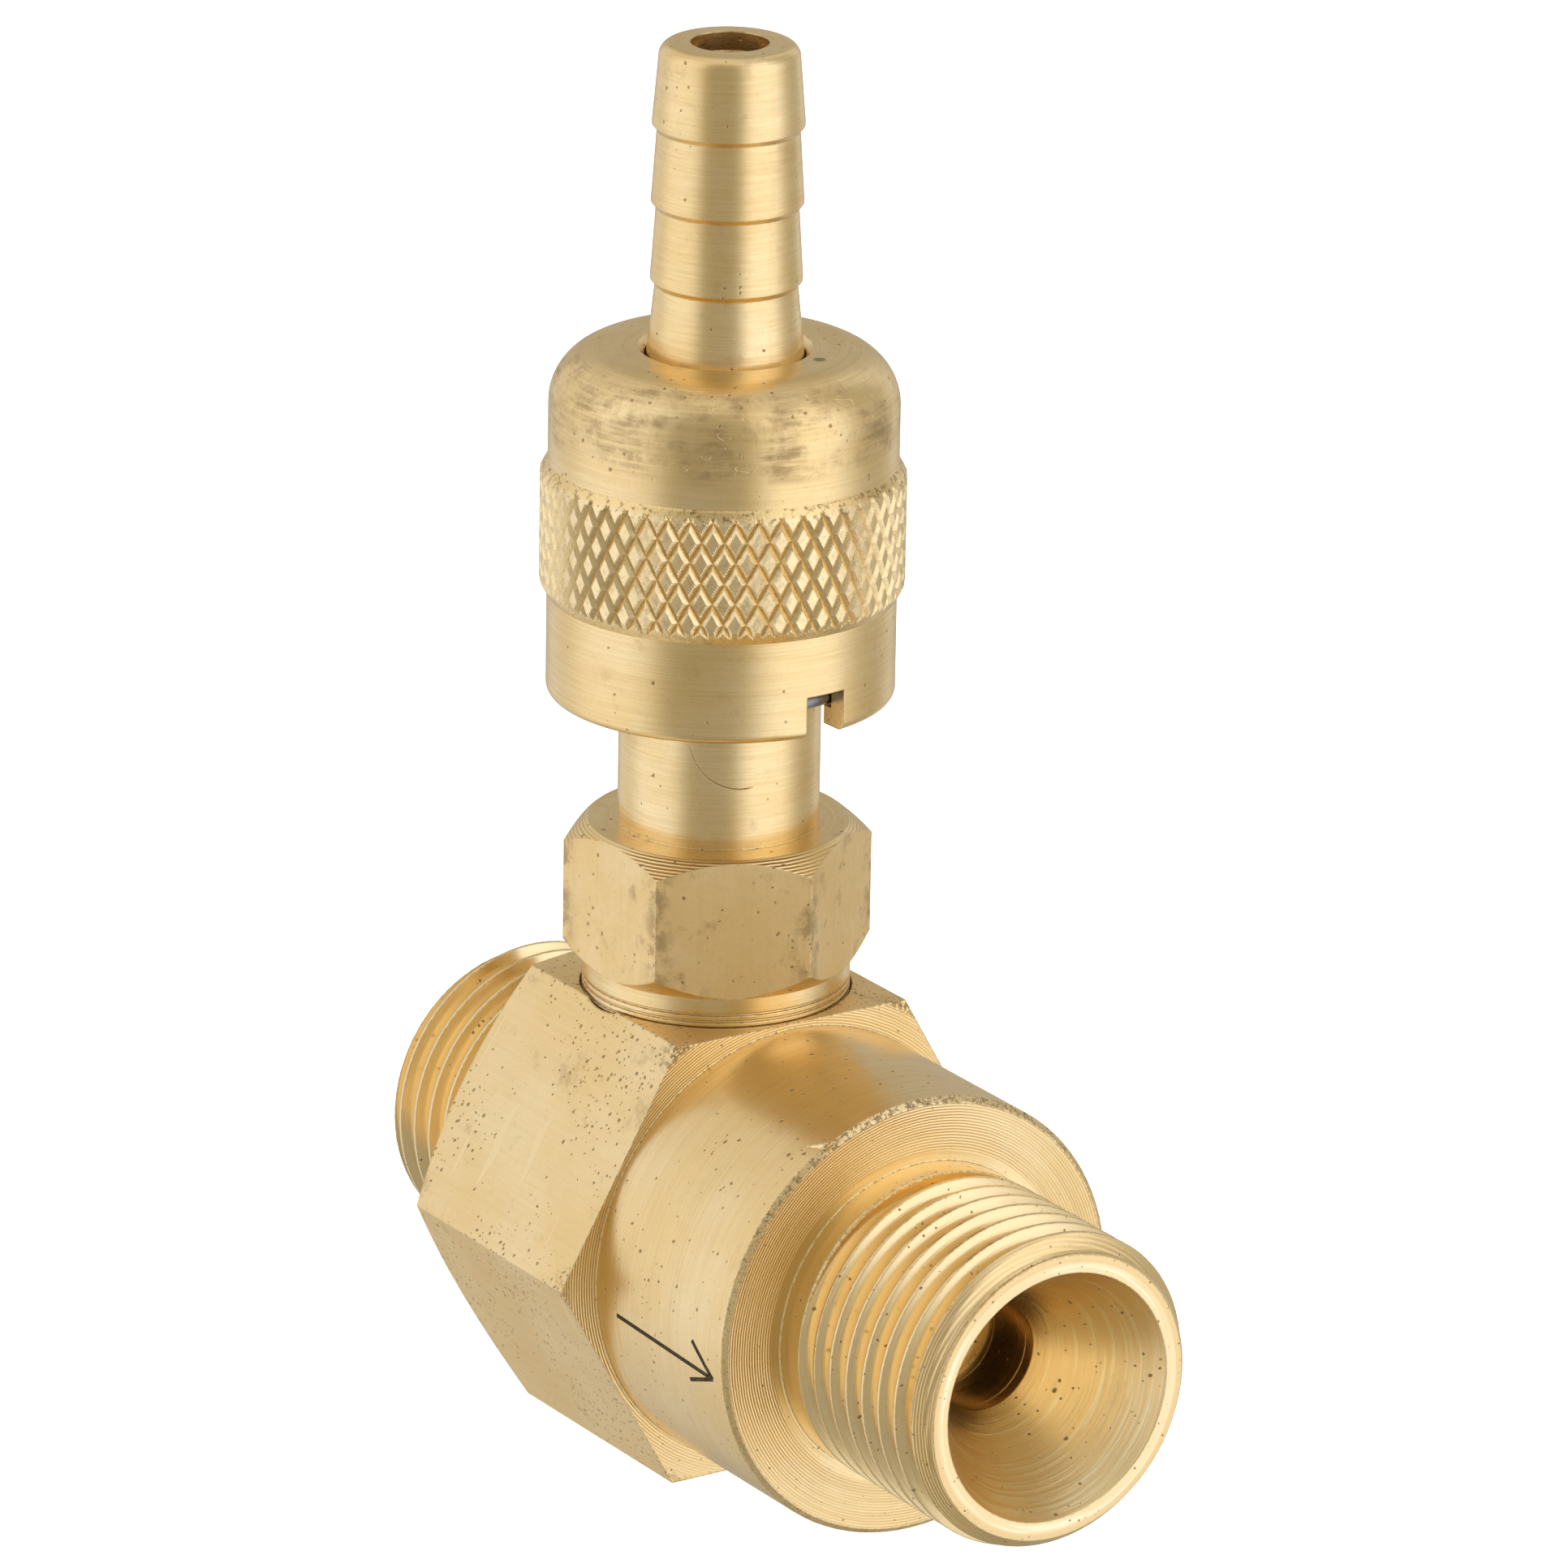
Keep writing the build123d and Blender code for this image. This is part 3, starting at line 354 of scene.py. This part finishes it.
class Metal(Tree):
    """A metal's tree, with the distance from an axis and the way along it at hand."""

    def __init__(self, name, axis):
        self.material = bpy.data.materials.new(name)
        self.material.use_nodes = True
        super().__init__(self.material.node_tree)
        self.shader = self.add("ShaderNodeBsdfPrincipled")
        out = self.add("ShaderNodeOutputMaterial")
        self.tree.links.new(self.shader.outputs[0], out.inputs["Surface"])
        self.shader.inputs["Metallic"].default_value = 1.0
        self.place = self.add("ShaderNodeTexCoord").outputs["Object"]
        parts = self.add("ShaderNodeSeparateXYZ", {"Vector": self.place}).outputs
        facing = self.add("ShaderNodeNewGeometry").outputs["True Normal"]
        normal = self.add("ShaderNodeVectorTransform", {"Vector": facing}, vector_type="NORMAL",
                          convert_from="WORLD", convert_to="OBJECT").outputs[0]
        normal_parts = self.add("ShaderNodeSeparateXYZ", {"Vector": normal}).outputs
        self.along = parts[axis]
        self.end_facing = self.math("ABSOLUTE", normal_parts[axis])
        if axis == "X":
            self.across = (parts["Y"], self.math("SUBTRACT", parts["Z"], AXIS_Z))
        else:
            self.across = (parts["X"], parts["Y"])
        self.radius = self.length(*self.across)
        self.cosine = self.math("DIVIDE", self.across[0], self.radius)
        self.sine = self.math("DIVIDE", self.across[1], self.radius)

    def cloudy(self, per_mm, detail, roughness, empty, full):
        """Cloudy mask, 0 where the noise is at empty and 1 where it is at full."""
        return self.step(self.noise(self.place, per_mm / MM, detail, roughness), empty, full)

    def lathe_lines(self, per_mm, turn, detail=3.0):
        """Fine lines round the axis, as a turning tool leaves, 0 to 1."""
        dense = per_mm / MM
        line = self.vector(
            self.times(self.along, dense),
            self.times(self.radius, dense),
            self.times(self.cosine, turn),
        )
        return self.noise(line, 1.0, detail, 0.6, w=self.times(self.sine, turn))

    def drawn_lines(self, per_mm, stretch):
        """Fine lines along the axis, as a drawn bar has, 0 to 1."""
        dense = per_mm / MM
        line = self.vector(
            self.times(self.along, dense / stretch),
            self.times(self.across[0], dense),
            self.times(self.across[1], dense),
        )
        return self.noise(line, 1.0, 3.0, 0.6)

    def rings(self, pitch, distance):
        """Evenly spaced ridges with the given pitch, for a coarse facing cut, 0 to 1."""
        phase = self.times(distance, 2 * math.pi / pitch)
        phase = self.plus(phase, RING_WOBBLE, self.noise(self.place, 0.9 / MM, 2.0))
        return self.plus(0.5, 0.5, self.math("SINE", phase))

    def specks(self, spacing_mm, share):
        """Small round pits about spacing apart where share is high, 0 to 1."""
        shift = self.noise(self.place, 2.0 / spacing_mm / MM, 2.0)
        cell = self.vector_math("SCALE", self.place, 1 / spacing_mm / MM)
        cell = self.vector_math("ADD", cell, self.times(shift, 0.5))
        cells = self.add("ShaderNodeTexVoronoi", {"Vector": cell, "Scale": 1.0}).outputs
        chance = self.add("ShaderNodeSeparateColor", {"Color": cells["Color"]}).outputs
        reach = self.plus(SPECK_LEAST, SPECK_SPREAD, chance["Green"])
        dot = self.step(cells["Distance"], reach, self.times(reach, 0.6))
        return self.times(dot, self.math("LESS_THAN", chance["Red"], share))

    def scratches(self, per_mm, stretch, threshold):
        """A few thin scratches that run mostly across the axis, 0 to 1."""
        dense = per_mm / MM
        bend = self.noise(self.place, 0.15 / MM, 1.0)
        line = self.vector(
            self.plus(self.times(self.along, dense), 1.5, bend),
            self.times(self.across[0], dense / stretch),
            self.times(self.across[1], dense / stretch),
        )
        return self.step(self.noise(line, 1.0, 0.0), threshold, threshold + 0.02)

    def edges(self, radius):
        """The edges of the solid, 0 to 1, and the normal with its corners rounded."""
        rounded = self.add("ShaderNodeBevel", {"Radius": radius}, samples=6).outputs[0]
        sharp = self.add("ShaderNodeNewGeometry").outputs["Normal"]
        match = self.vector_math("DOT_PRODUCT", rounded, sharp, "Value")
        return self.step(self.math("SUBTRACT", 1.0, match), 0.0, 0.12), rounded

    def relief(self, height, depth, normal=None):
        """The normal with height pushed out of it, where a height of 1 is depth."""
        node = self.add("ShaderNodeBump", {"Height": height, "Distance": depth, "Strength": 1.0})
        if normal is not None:
            self.feed(node.inputs["Normal"], normal)
        return node.outputs[0]

    def finish(self, colour, roughness, normal):
        self.feed(self.shader.inputs["Base Color"], colour)
        self.feed(self.shader.inputs["Roughness"], roughness)
        self.feed(self.shader.inputs["Normal"], normal)
        return self.material


def brass_ground(t, lines, trace, clouds_per_mm):
    """Brass with soft cloudy colour and some trace of the tool's lines in it."""
    colour = t.tint(t.cloudy(clouds_per_mm, 4.0, 0.6, 0.35, 0.7), BRASS, BRASS_PALE)
    colour = t.tint(t.times(t.step(lines, *TRACE), trace), colour, BRASS_DEEP)
    return t.tint(t.times(t.cloudy(*GRAIN), 0.22), colour, BRASS_DEEP)


def body_brass():
    """Drawn hexagon bar with turned ends, collar, threads and bores."""
    t = Metal("body_brass", "X")
    outside = t.step(t.radius, BODY_FLAT - 0.12 * MM, BODY_FLAT - 0.02 * MM)
    flat = t.times(outside, t.step(t.end_facing, *SIDE_FACING))
    # coarse facing ridges on the hexagon's and collar's ends, and round the end chamfers
    faced = t.times(t.step(t.end_facing, *SQUARE_FACING), t.step(t.radius, *FACED_RADII))
    ending = t.times(
        t.between(t.radius, END_RADIUS, THREAD_RADIUS, 0.1 * MM),
        t.step(t.along, *END_CUT),
    )
    ridges = t.blend(ending, t.rings(FACE_PITCH, t.radius), t.rings(END_PITCH, t.along))
    ridged = t.most(faced, t.times(ending, 0.6))
    coned = t.times(t.step(t.radius, *CONE_MOUTH), t.step(t.radius, *CONE_FOOT))
    bore = t.step(t.radius, *BORE_RADII)
    threaded = t.times(t.step(t.radius, *THREAD_OUTER), t.step(t.radius, *THREAD_INNER))
    threaded = t.times(threaded, t.math("SUBTRACT", 1.0, ending))

    flat_lines = t.plus(t.times(t.drawn_lines(3.2, 28.0), 0.7), 0.3, t.drawn_lines(1.1, 7.0))
    lines = t.blend(flat, t.lathe_lines(7.0, 1.6), flat_lines)
    colour = brass_ground(t, lines, t.blend(flat, 0.22, 0.10), 0.09)
    arcs = t.lathe_lines(3.0, 0.7, 4.0)
    # painted light: the cone is painted paler to lighten it, and bright arcs along its turned
    # lines are painted highlights
    painted_highlight_arc = t.times(coned, t.step(arcs, 0.52, 0.62))
    colour = t.tint(t.times(coned, 0.6), colour, BRASS_PALE)
    colour = t.tint(t.times(painted_highlight_arc, 0.8), colour, BRASS_BRIGHT)
    colour = t.tint(t.times(threaded, 0.8), colour, BRASS_PALE)
    # thread roots, bores and ridge valleys are painted browner than the outside: partly a film,
    # partly painted shade in these hollows
    root = t.times(threaded, t.step(t.radius, *THREAD_ROOT))
    valley = t.times(ridged, t.step(ridges, *VALLEY))
    film_and_shade = t.most(t.times(root, 0.45), t.times(bore, 0.1), t.times(valley, 0.45))
    colour = t.tint(film_and_shade, colour, BRASS_DEEP)
    # a few rings that the drill left in the bore, raised in the bump and painted paler as bright
    # glints, a painted highlight
    drilled = t.noise(t.vector(t.times(t.along, 2.6 / MM), 0.0, 0.0), 1.0, 1.0)
    ring = t.times(t.step(drilled, 0.58, 0.63), bore)
    colour = t.tint(ring, colour, BRASS_PALE)

    smudge = t.times(t.cloudy(*BODY_SMUDGES), t.blend(flat, 0.12, 0.34))
    share = t.plus(0.03, t.blend(flat, 0.14, 0.85), t.cloudy(*BODY_PITTED))
    pits = t.most(t.specks(0.52, share), t.specks(0.33, t.times(share, 0.6)))
    edge, rounded = t.edges(0.16 * MM)
    gritty = t.cloudy(*BODY_GRIT)
    lip = t.times(t.between(t.along, *COLLAR_LIP), t.step(t.radius, *COLLAR_LIP_RADII))
    corner = t.times(t.step(t.radius, *HEX_CORNER_RADII), t.step(t.along, *HEX_CORNER_ALONG))
    upper = t.step(t.across[1], 0.0, COLLAR_RADIUS * 0.8)
    grime = t.times(t.most(edge, lip, corner), gritty, t.blend(upper, 0.3, 0.8))
    # edges painted paler away from the grit: partly real wear, partly a painted highlight on the
    # bright-lit edges
    worn_and_lit_edge = t.times(edge, t.math("SUBTRACT", 1.0, gritty))
    dark = t.most(smudge, t.times(pits, 0.75), grime)
    colour = t.tint(t.times(worn_and_lit_edge, 0.6), colour, BRASS_PALE)
    colour = t.tint(dark, colour, TARNISH)
    scratch = t.times(t.scratches(1.4, 16.0, 0.74), flat)
    colour = t.tint(t.times(scratch, 0.9), colour, BRASS_PALE)

    height = t.times(lines, t.blend(flat, 0.22, 0.16))
    for mask, gain in (
        (coned, t.times(arcs, 0.9)),
        (ridged, t.times(ridges, 0.5)),
        (pits, -0.5),
        (scratch, -0.25),
        (grime, -0.8),
        (ring, 0.8),
    ):
        height = t.plus(height, gain, mask)
    roughness = t.blend(lines, 0.38, 0.22)
    for mask, rough in ((flat, 0.44), (threaded, 0.16), (dark, 0.6)):
        roughness = t.blend(mask, roughness, rough)
    return t.finish(colour, roughness, t.relief(height, 0.035 * MM, rounded))


def stain_mask(t):
    """The drop of stain on the knob's top, 0 to 1."""
    offsets = [t.math("SUBTRACT", a, b) for a, b in zip(t.across, STAIN_PLACE)]
    ragged = t.noise(t.place, 1.6 / MM, 3.0, 0.7)
    away = t.plus(t.length(*offsets), -0.5 * STAIN_RADIUS, ragged)
    spot = t.step(away, STAIN_RADIUS, STAIN_RADIUS * 0.5)
    return t.times(spot, t.step(t.along, KNOB_HIGH.z - 1.0 * MM, KNOB_HIGH.z - 0.5 * MM))


def neck_scratch_mask(t):
    """The thin scratch on the neck, 0 to 1."""
    turn = t.math("ARCTAN2", t.across[1], t.across[0])
    sideways = t.plus(-SCRATCH_CENTRE[0], NECK_RADIUS, turn)
    up = t.math("SUBTRACT", t.along, SCRATCH_CENTRE[1])
    off = t.math("ABSOLUTE", t.math("SUBTRACT", t.length(sideways, up), SCRATCH_RADIUS))
    return t.times(
        t.step(off, SCRATCH_WIDTH, SCRATCH_WIDTH / 3),
        t.step(sideways, *SCRATCH_END_ROUND),
        t.step(up, *SCRATCH_END_UP),
        t.step(t.radius, NECK_RADIUS + 0.1 * MM, NECK_RADIUS + 0.02 * MM),
    )


def upright_brass(name, flats=None, wear_band=None):
    """Brass turned about the stem. flats is (inscribed radius, low, high) of a hexagon
    left as drawn; wear_band is (low, high) where handling has scuffed it."""
    t = Metal(name, "Z")
    lines = t.lathe_lines(6.0, 1.4)
    flat = 0.0
    if flats:
        inscribed, low, high = flats
        outside = t.step(t.radius, inscribed - 0.1 * MM, inscribed - 0.01 * MM)
        level = t.step(t.end_facing, *SIDE_FACING)
        flat = t.times(outside, level, t.between(t.along, low, high, 0.05 * MM))
        drawn = t.times(t.drawn_lines(3.0, 22.0), 0.4)
        lines = t.blend(flat, lines, t.plus(drawn, 0.6, t.noise(t.place, 1.4 / MM, 4.0, 0.7)))
    colour = brass_ground(t, lines, t.blend(flat, 0.24, 0.14), 0.12)
    smudge = t.times(t.cloudy(*UPRIGHT_SMUDGES), t.blend(flat, 0.22, 0.45))
    if flats:
        corner = t.step(t.radius, inscribed + 0.5 * MM, inscribed + 1.3 * MM)
        smudge = t.most(smudge, t.times(flat, corner, t.cloudy(*UPRIGHT_BLOTCHES), 0.55))
    pits = t.specks(0.5, t.plus(0.03, 0.20, t.cloudy(*UPRIGHT_PITTED)))
    edge, rounded = t.edges(0.14 * MM)
    grime = t.times(edge, t.cloudy(*UPRIGHT_GRIT), 0.6)
    dark = t.most(smudge, t.times(pits, 0.7), grime)
    height = t.times(lines, 0.3)
    if flats:
        # coarse ridges on the hexagon's turned chamfer
        ridges = t.rings(CHAMFER_PITCH, t.radius)
        ridged = t.times(
            t.step(t.radius, inscribed - 0.2 * MM, inscribed),
            t.step(t.along, low, high),
            t.math("SUBTRACT", 1.0, flat),
        )
        valley = t.times(ridged, t.step(ridges, *VALLEY))
        # the ridges' valleys are painted deeper: painted shade in the grooves
        colour = t.tint(t.times(valley, 0.7), colour, BRASS_DEEP)
        height = t.plus(height, t.times(ridges, 0.7), ridged)
        scratch = neck_scratch_mask(t)
        dark = t.most(dark, t.times(scratch, 0.7))
        height = t.plus(height, -0.7, scratch)
    if wear_band:
        worn = t.times(t.between(t.along, *wear_band, 1.2 * MM), t.step(t.radius, *WEAR_RADII))
        rubbed = t.step(t.lathe_lines(2.4, 3.0, 5.0), 0.3, 0.62)
        scuff = t.times(t.cloudy(*KNOB_SCUFFS), rubbed, worn)
        dark = t.most(dark, t.times(scuff, 0.66))
        height = t.plus(height, -0.6, t.times(t.scratches(1.3, 1.6, 0.72), worn))
        height = t.plus(height, -0.25, scuff)
        colour = t.tint(t.times(stain_mask(t), 0.8), colour, STAIN)
    colour = t.tint(dark, colour, TARNISH)
    height = t.plus(height, -0.5, pits)
    roughness = t.blend(lines, 0.34, 0.22)
    for mask, rough in ((flat, 0.52), (dark, 0.55)):
        roughness = t.blend(mask, roughness, rough)
    return t.finish(colour, roughness, t.relief(height, 0.03 * MM, rounded))


def knurl_brass():
    """Flat tops painted paler and grooves painted darker as painted shade, with grit that is
    strongest on the band's upper chamfer.
    """
    t = Metal("knurl_brass", "Z")
    grain = t.noise(t.place, 2.5 / MM, 4.0, 0.65)
    # painted shade and highlight: darker in the grooves, paler on the flat tops
    colour = t.tint(t.step(t.radius, *KNURL_SHADE_RADII), BRASS, BRASS_PALE)
    chamfer = t.step(t.along, KNURL_TOP - 1.1 * MM, KNURL_TOP - 0.6 * MM)
    grit = t.times(t.step(grain, 0.50, 0.64), t.blend(chamfer, 0.22, 0.75))
    colour = t.tint(grit, colour, TARNISH)
    return t.finish(colour, t.blend(grain, 0.2, 0.36), t.relief(grain, 0.03 * MM))


def insert_brass():
    """The nozzle and the diffuser: turned, and browner than the body."""
    t = Metal("insert_brass", "X")
    lines = t.lathe_lines(5.0, 1.0)
    colour = t.tint(t.step(lines, 0.3, 0.7), BRASS_DEEP, BRASS)
    colour = t.tint(t.times(t.cloudy(*INSERT_STAINS), 0.5), colour, TARNISH)
    return t.finish(colour, t.blend(lines, 0.4, 0.25), t.relief(lines, 0.02 * MM))


def steel(name, tone, rough, depth=LINE_DEPTH):
    """Bright steel with drawn or ground lines and a little colour variation."""
    t = Metal(name, "Z")
    lines = t.lathe_lines(9.0, 3.0)
    low = tuple(c * 0.72 for c in tone)
    colour = t.tint(t.cloudy(*STEEL_CLOUDS), (*low, 1), (*tone, 1))
    roughness = t.blend(lines, rough + 0.08, rough - 0.04)
    return t.finish(colour, roughness, t.relief(lines, depth))


def plain_solid(name, light, dark, rough, grain_per_mm):
    """Rubber or plastic with a fine moulded grain and a dusty, uneven tone."""
    t = Metal(name, "Z")
    t.shader.inputs["Metallic"].default_value = 0.0
    grain = t.noise(t.place, grain_per_mm / MM, 4.0, 0.6)
    colour = t.tint(t.cloudy(*DUST), (*dark, 1), (*light, 1))
    return t.finish(colour, t.blend(grain, rough - 0.08, rough + 0.1), t.relief(grain, 0.01 * MM))


def engraved_mark():
    """The arrow's dark, burnt line."""
    t = Metal("engraved_mark", "X")
    grain = t.noise(t.place, 5.0 / MM, 4.0, 0.7)
    colour = t.tint(t.step(grain, 0.3, 0.75), MARK_DARK, MARK_LIGHT)
    return t.finish(colour, t.blend(grain, 0.5, 0.75), t.relief(grain, 0.03 * MM))


# ---------------------------------------------------------------- pieces
def add_piece(name, mesh, material, body):
    """An object that shows the mesh and moves with the body."""
    piece = bpy.data.objects.new(name, mesh)
    bpy.context.scene.collection.objects.link(piece)
    mesh.materials.clear()
    mesh.materials.append(material)
    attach(piece, body)
    return piece


def new_piece(name, vertices, faces, material, body):
    """A piece made of its own vertices and faces."""
    mesh = bpy.data.meshes.new(name)
    mesh.from_pydata(vertices, [], faces)
    mesh.validate()
    mesh.update()
    return add_piece(name, mesh, material, body)


def copy_of(node, name, material, body):
    """A piece with the CAD node's mesh that stands in its place."""
    piece = add_piece(name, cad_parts[node].data.copy(), material, body)
    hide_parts(node)
    return piece


SHELL_SINK = 0.06 * MM          # the turned-down band below the plain surface
SHELL_MARGIN = 0.02 * MM


def knob_shell(material):
    """The knob with its plain band turned down to make room for the knurled sleeve."""
    piece = copy_of("control_knob", "knob_shell", material, "knob")
    under = PLAIN_RADIUS - SHELL_SINK
    for vertex in piece.data.vertices:
        reach = math.hypot(vertex.co.x, vertex.co.y)
        if reach > PLAIN_RADIUS + SHELL_MARGIN:
            vertex.co.x *= under / reach
            vertex.co.y *= under / reach


def spring_coil(material):
    """The check valve's spring, a copy of the CAD node with a mesh of its own."""
    piece = copy_of("check_spring", "spring_coil", material, "valve_body")
    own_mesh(piece)


KNURL_COUNT = 50
KNURL_DIAMOND = 2.70 * MM       # height of one diamond
KNURL_STEPS = 18                # mesh steps across one diamond
KNURL_FLANK = 4                 # of them from a groove's bottom to the diamond's flat top
KNURL_DEPTH = 0.25 * MM
KNURL_COLUMNS = KNURL_COUNT * KNURL_STEPS
SLEEVE_LIFT = 0.005 * MM        # least height of the sleeve above the plain surface
SLEEVE_EDGE_SINK = 0.03 * MM    # its first and last rows below that surface
SLEEVE_INNER_SINK = 0.05 * MM


def knurl_height(steps):
    """Height, 0 at a groove's bottom and 1 on the flat tops, for one family of grooves."""
    across = steps % KNURL_STEPS
    return min(across, KNURL_STEPS - across, KNURL_FLANK) / KNURL_FLANK


def knurl_ring(height, reach_at):
    """A row of points at one height, at the radius that reach_at gives for each column."""
    points = []
    for column in range(KNURL_COLUMNS):
        turn = 2 * math.pi * column / KNURL_COLUMNS
        reach = reach_at(column)
        points.append((reach * math.cos(turn), reach * math.sin(turn), height))
    return points


def knurl_sleeve(material):
    """Closed ring with flat-topped diamonds between crossing grooves. The mesh's diagonals
    run along the grooves."""
    low = KNOB_LOW.z + KNURL_BAND[0]
    high = KNURL_TOP
    rise = KNURL_DIAMOND / KNURL_STEPS
    rows = int((high - low) / rise)
    heights = [low] + [high - rise * (rows - row) for row in range(rows)] + [high]
    heights = sorted(set(heights))
    last = len(heights) - 1

    def reach_at(row, column):
        if row in (0, last):
            return PLAIN_RADIUS - SLEEVE_EDGE_SINK
        height = heights[row]
        chamfer = PLAIN_RADIUS + KNURL_RISE / KNURL_CHAMFER * min(height - low, high - height)
        up = row - 1
        top = min(knurl_height(column + up), knurl_height(column - up))
        cut = KNURL_RADIUS - KNURL_DEPTH * (1 - top)
        return max(min(cut, chamfer), PLAIN_RADIUS + SLEEVE_LIFT)

    vertices = []
    for row, height in enumerate(heights):
        vertices += knurl_ring(height, lambda column: reach_at(row, column))
    for height in (heights[0], heights[-1]):
        vertices += knurl_ring(height, lambda column: PLAIN_RADIUS - SLEEVE_INNER_SINK)
    faces = []
    for row in range(last):
        for column in range(KNURL_COLUMNS):
            after = (column + 1) % KNURL_COLUMNS
            a, b = row * KNURL_COLUMNS + column, row * KNURL_COLUMNS + after
            c, d = b + KNURL_COLUMNS, a + KNURL_COLUMNS
            if knurl_height(column - row + 1) < knurl_height(column + row):
                faces += [(a, b, c), (a, c, d)]
            else:
                faces += [(a, b, d), (b, c, d)]
    top = last * KNURL_COLUMNS
    inside_low = top + KNURL_COLUMNS
    inside_high = inside_low + KNURL_COLUMNS
    for column in range(KNURL_COLUMNS):
        after = (column + 1) % KNURL_COLUMNS
        faces.append((column, inside_low + column, inside_low + after, after))
        faces.append((top + column, top + after, inside_high + after, inside_high + column))
        faces.append((
            inside_low + column,
            inside_high + column,
            inside_high + after,
            inside_low + after,
        ))
    return new_piece("knob_knurl", vertices, faces, material, "knob")


# The arrow's points on the collar: (place along X in mm, degrees from the top towards -Y).
ARROW_TAIL = (11.5, 95.0)
ARROW_TIP = (22.7, 96.8)
ARROW_BARBS = [(20.4, 89.5), (19.9, 100.8)]
ARROW_WIDTH = 0.27 * MM
ARROW_HEIGHT = 0.02 * MM
ARROW_STEPS = 12


def on_collar(along, turn, lift):
    """Point on the collar, lift above it; turn runs from the top towards -Y."""
    reach = COLLAR_RADIUS + lift
    return (along, -reach * math.sin(turn), AXIS_Z + reach * math.cos(turn))


def stroke(start, end, first):
    """Vertices and faces of one line of the arrow, where first is its first vertex."""
    ends = [Vector((x * MM, math.radians(a) * COLLAR_RADIUS)) for x, a in (start, end)]
    way = (ends[1] - ends[0]).normalized()
    side = Vector((-way.y, way.x)) * ARROW_WIDTH / 2
    vertices = []
    for step in range(ARROW_STEPS + 1):
        middle = ends[0].lerp(ends[1], step / ARROW_STEPS)
        for lift in (-ARROW_HEIGHT, ARROW_HEIGHT):
            for point in (middle - side, middle + side):
                vertices.append(on_collar(point.x, point.y / COLLAR_RADIUS, lift))
    faces = []
    for a in range(first, first + 4 * ARROW_STEPS, 4):
        b = a + 4
        faces += [
            (a, a + 1, b + 1, b),
            (a + 2, b + 2, b + 3, a + 3),
            (a, b, b + 2, a + 2),
            (a + 1, a + 3, b + 3, b + 1),
        ]
    last = first + 4 * ARROW_STEPS
    faces.append((first, first + 2, first + 3, first + 1))
    faces.append((last, last + 1, last + 3, last + 2))
    return vertices, faces


def flow_arrow(material):
    """Plain flow arrow on the collar, bent round it."""
    vertices, faces = [], []
    for start in (ARROW_TAIL, *ARROW_BARBS):
        line = stroke(start, ARROW_TIP, len(vertices))
        vertices += line[0]
        faces += line[1]
    return new_piece("flow_arrow", vertices, faces, material, "valve_body")


# Where the burr's tip and its two corners at the collar's edge lie, as for the arrow.
BURR_TIP = (21.9, 32.4)
BURR_CORNERS = [(24.05, 26.6), (24.05, 29.6)]
BURR_HEIGHT = 0.34 * MM
BURR_SINK = 0.05 * MM


def collar_burr(material):
    """Small sliver pushed up at the collar's front edge."""
    points = [BURR_TIP, *BURR_CORNERS]
    vertices = [on_collar(x * MM, math.radians(a), -BURR_SINK) for x, a in points]
    crest = (BURR_CORNERS[0][1] + BURR_CORNERS[1][1]) / 2
    vertices.append(on_collar(BURR_CORNERS[0][0] * MM, math.radians(crest), BURR_HEIGHT))
    faces = [(0, 1, 2), (0, 3, 1), (0, 2, 3), (1, 3, 2)]
    return new_piece("collar_burr", vertices, faces, material, "valve_body")


def paint(material, *nodes):
    """Gives CAD nodes a material in place of their own."""
    for node in nodes:
        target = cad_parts[node]
        target.data.materials.clear()
        target.data.materials.append(material)


def dress_the_frame():
    """Materials for every CAD node, and the pieces that add to or replace them."""
    body = body_brass()
    paint(body, "injector_body")
    paint(upright_brass("bonnet_brass", flats=(BONNET_FLAT, *BONNET_HEX)), "valve_bonnet")
    paint(upright_brass("stem_brass"), "hose_barb_stem")
    paint(insert_brass(), "inlet_nozzle", "diffuser")
    rubber = plain_solid("rubber", RUBBER_DUSTY, RUBBER, 0.6, 6.0)
    paint(rubber, "nozzle_o_ring", "bonnet_o_ring", "ball_seat_o_ring")
    paint(rubber, "stem_o_ring_lower", "stem_o_ring_upper")
    washer = plain_solid("washer_plastic", PLASTIC, PLASTIC_DULL, 0.45, 4.0)
    paint(washer, "thrust_washer_upper", "thrust_washer_lower")
    ring_wire = steel("ring_wire", *RING_STEEL)
    paint(ring_wire, "stem_retaining_ring", "knob_snap_ring")
    paint(steel("ball_steel", *BALL_STEEL, BALL_LINE_DEPTH), "check_ball")
    spring = steel("spring_steel", *SPRING_STEEL)
    paint(spring, "check_spring")
    spring_coil(spring)
    paint(steel("needle_steel", *NEEDLE_STEEL), "metering_needle")
    knob = upright_brass("knob_brass", wear_band=KNOB_WORN)
    paint(knob, "control_knob")
    knob_shell(knob)
    knurl_sleeve(knurl_brass())
    flow_arrow(engraved_mark())
    collar_burr(body)


bpy.context.scene.view_settings.view_transform = "Standard"
make_camera()
make_world()
make_floor()
dress_the_frame()
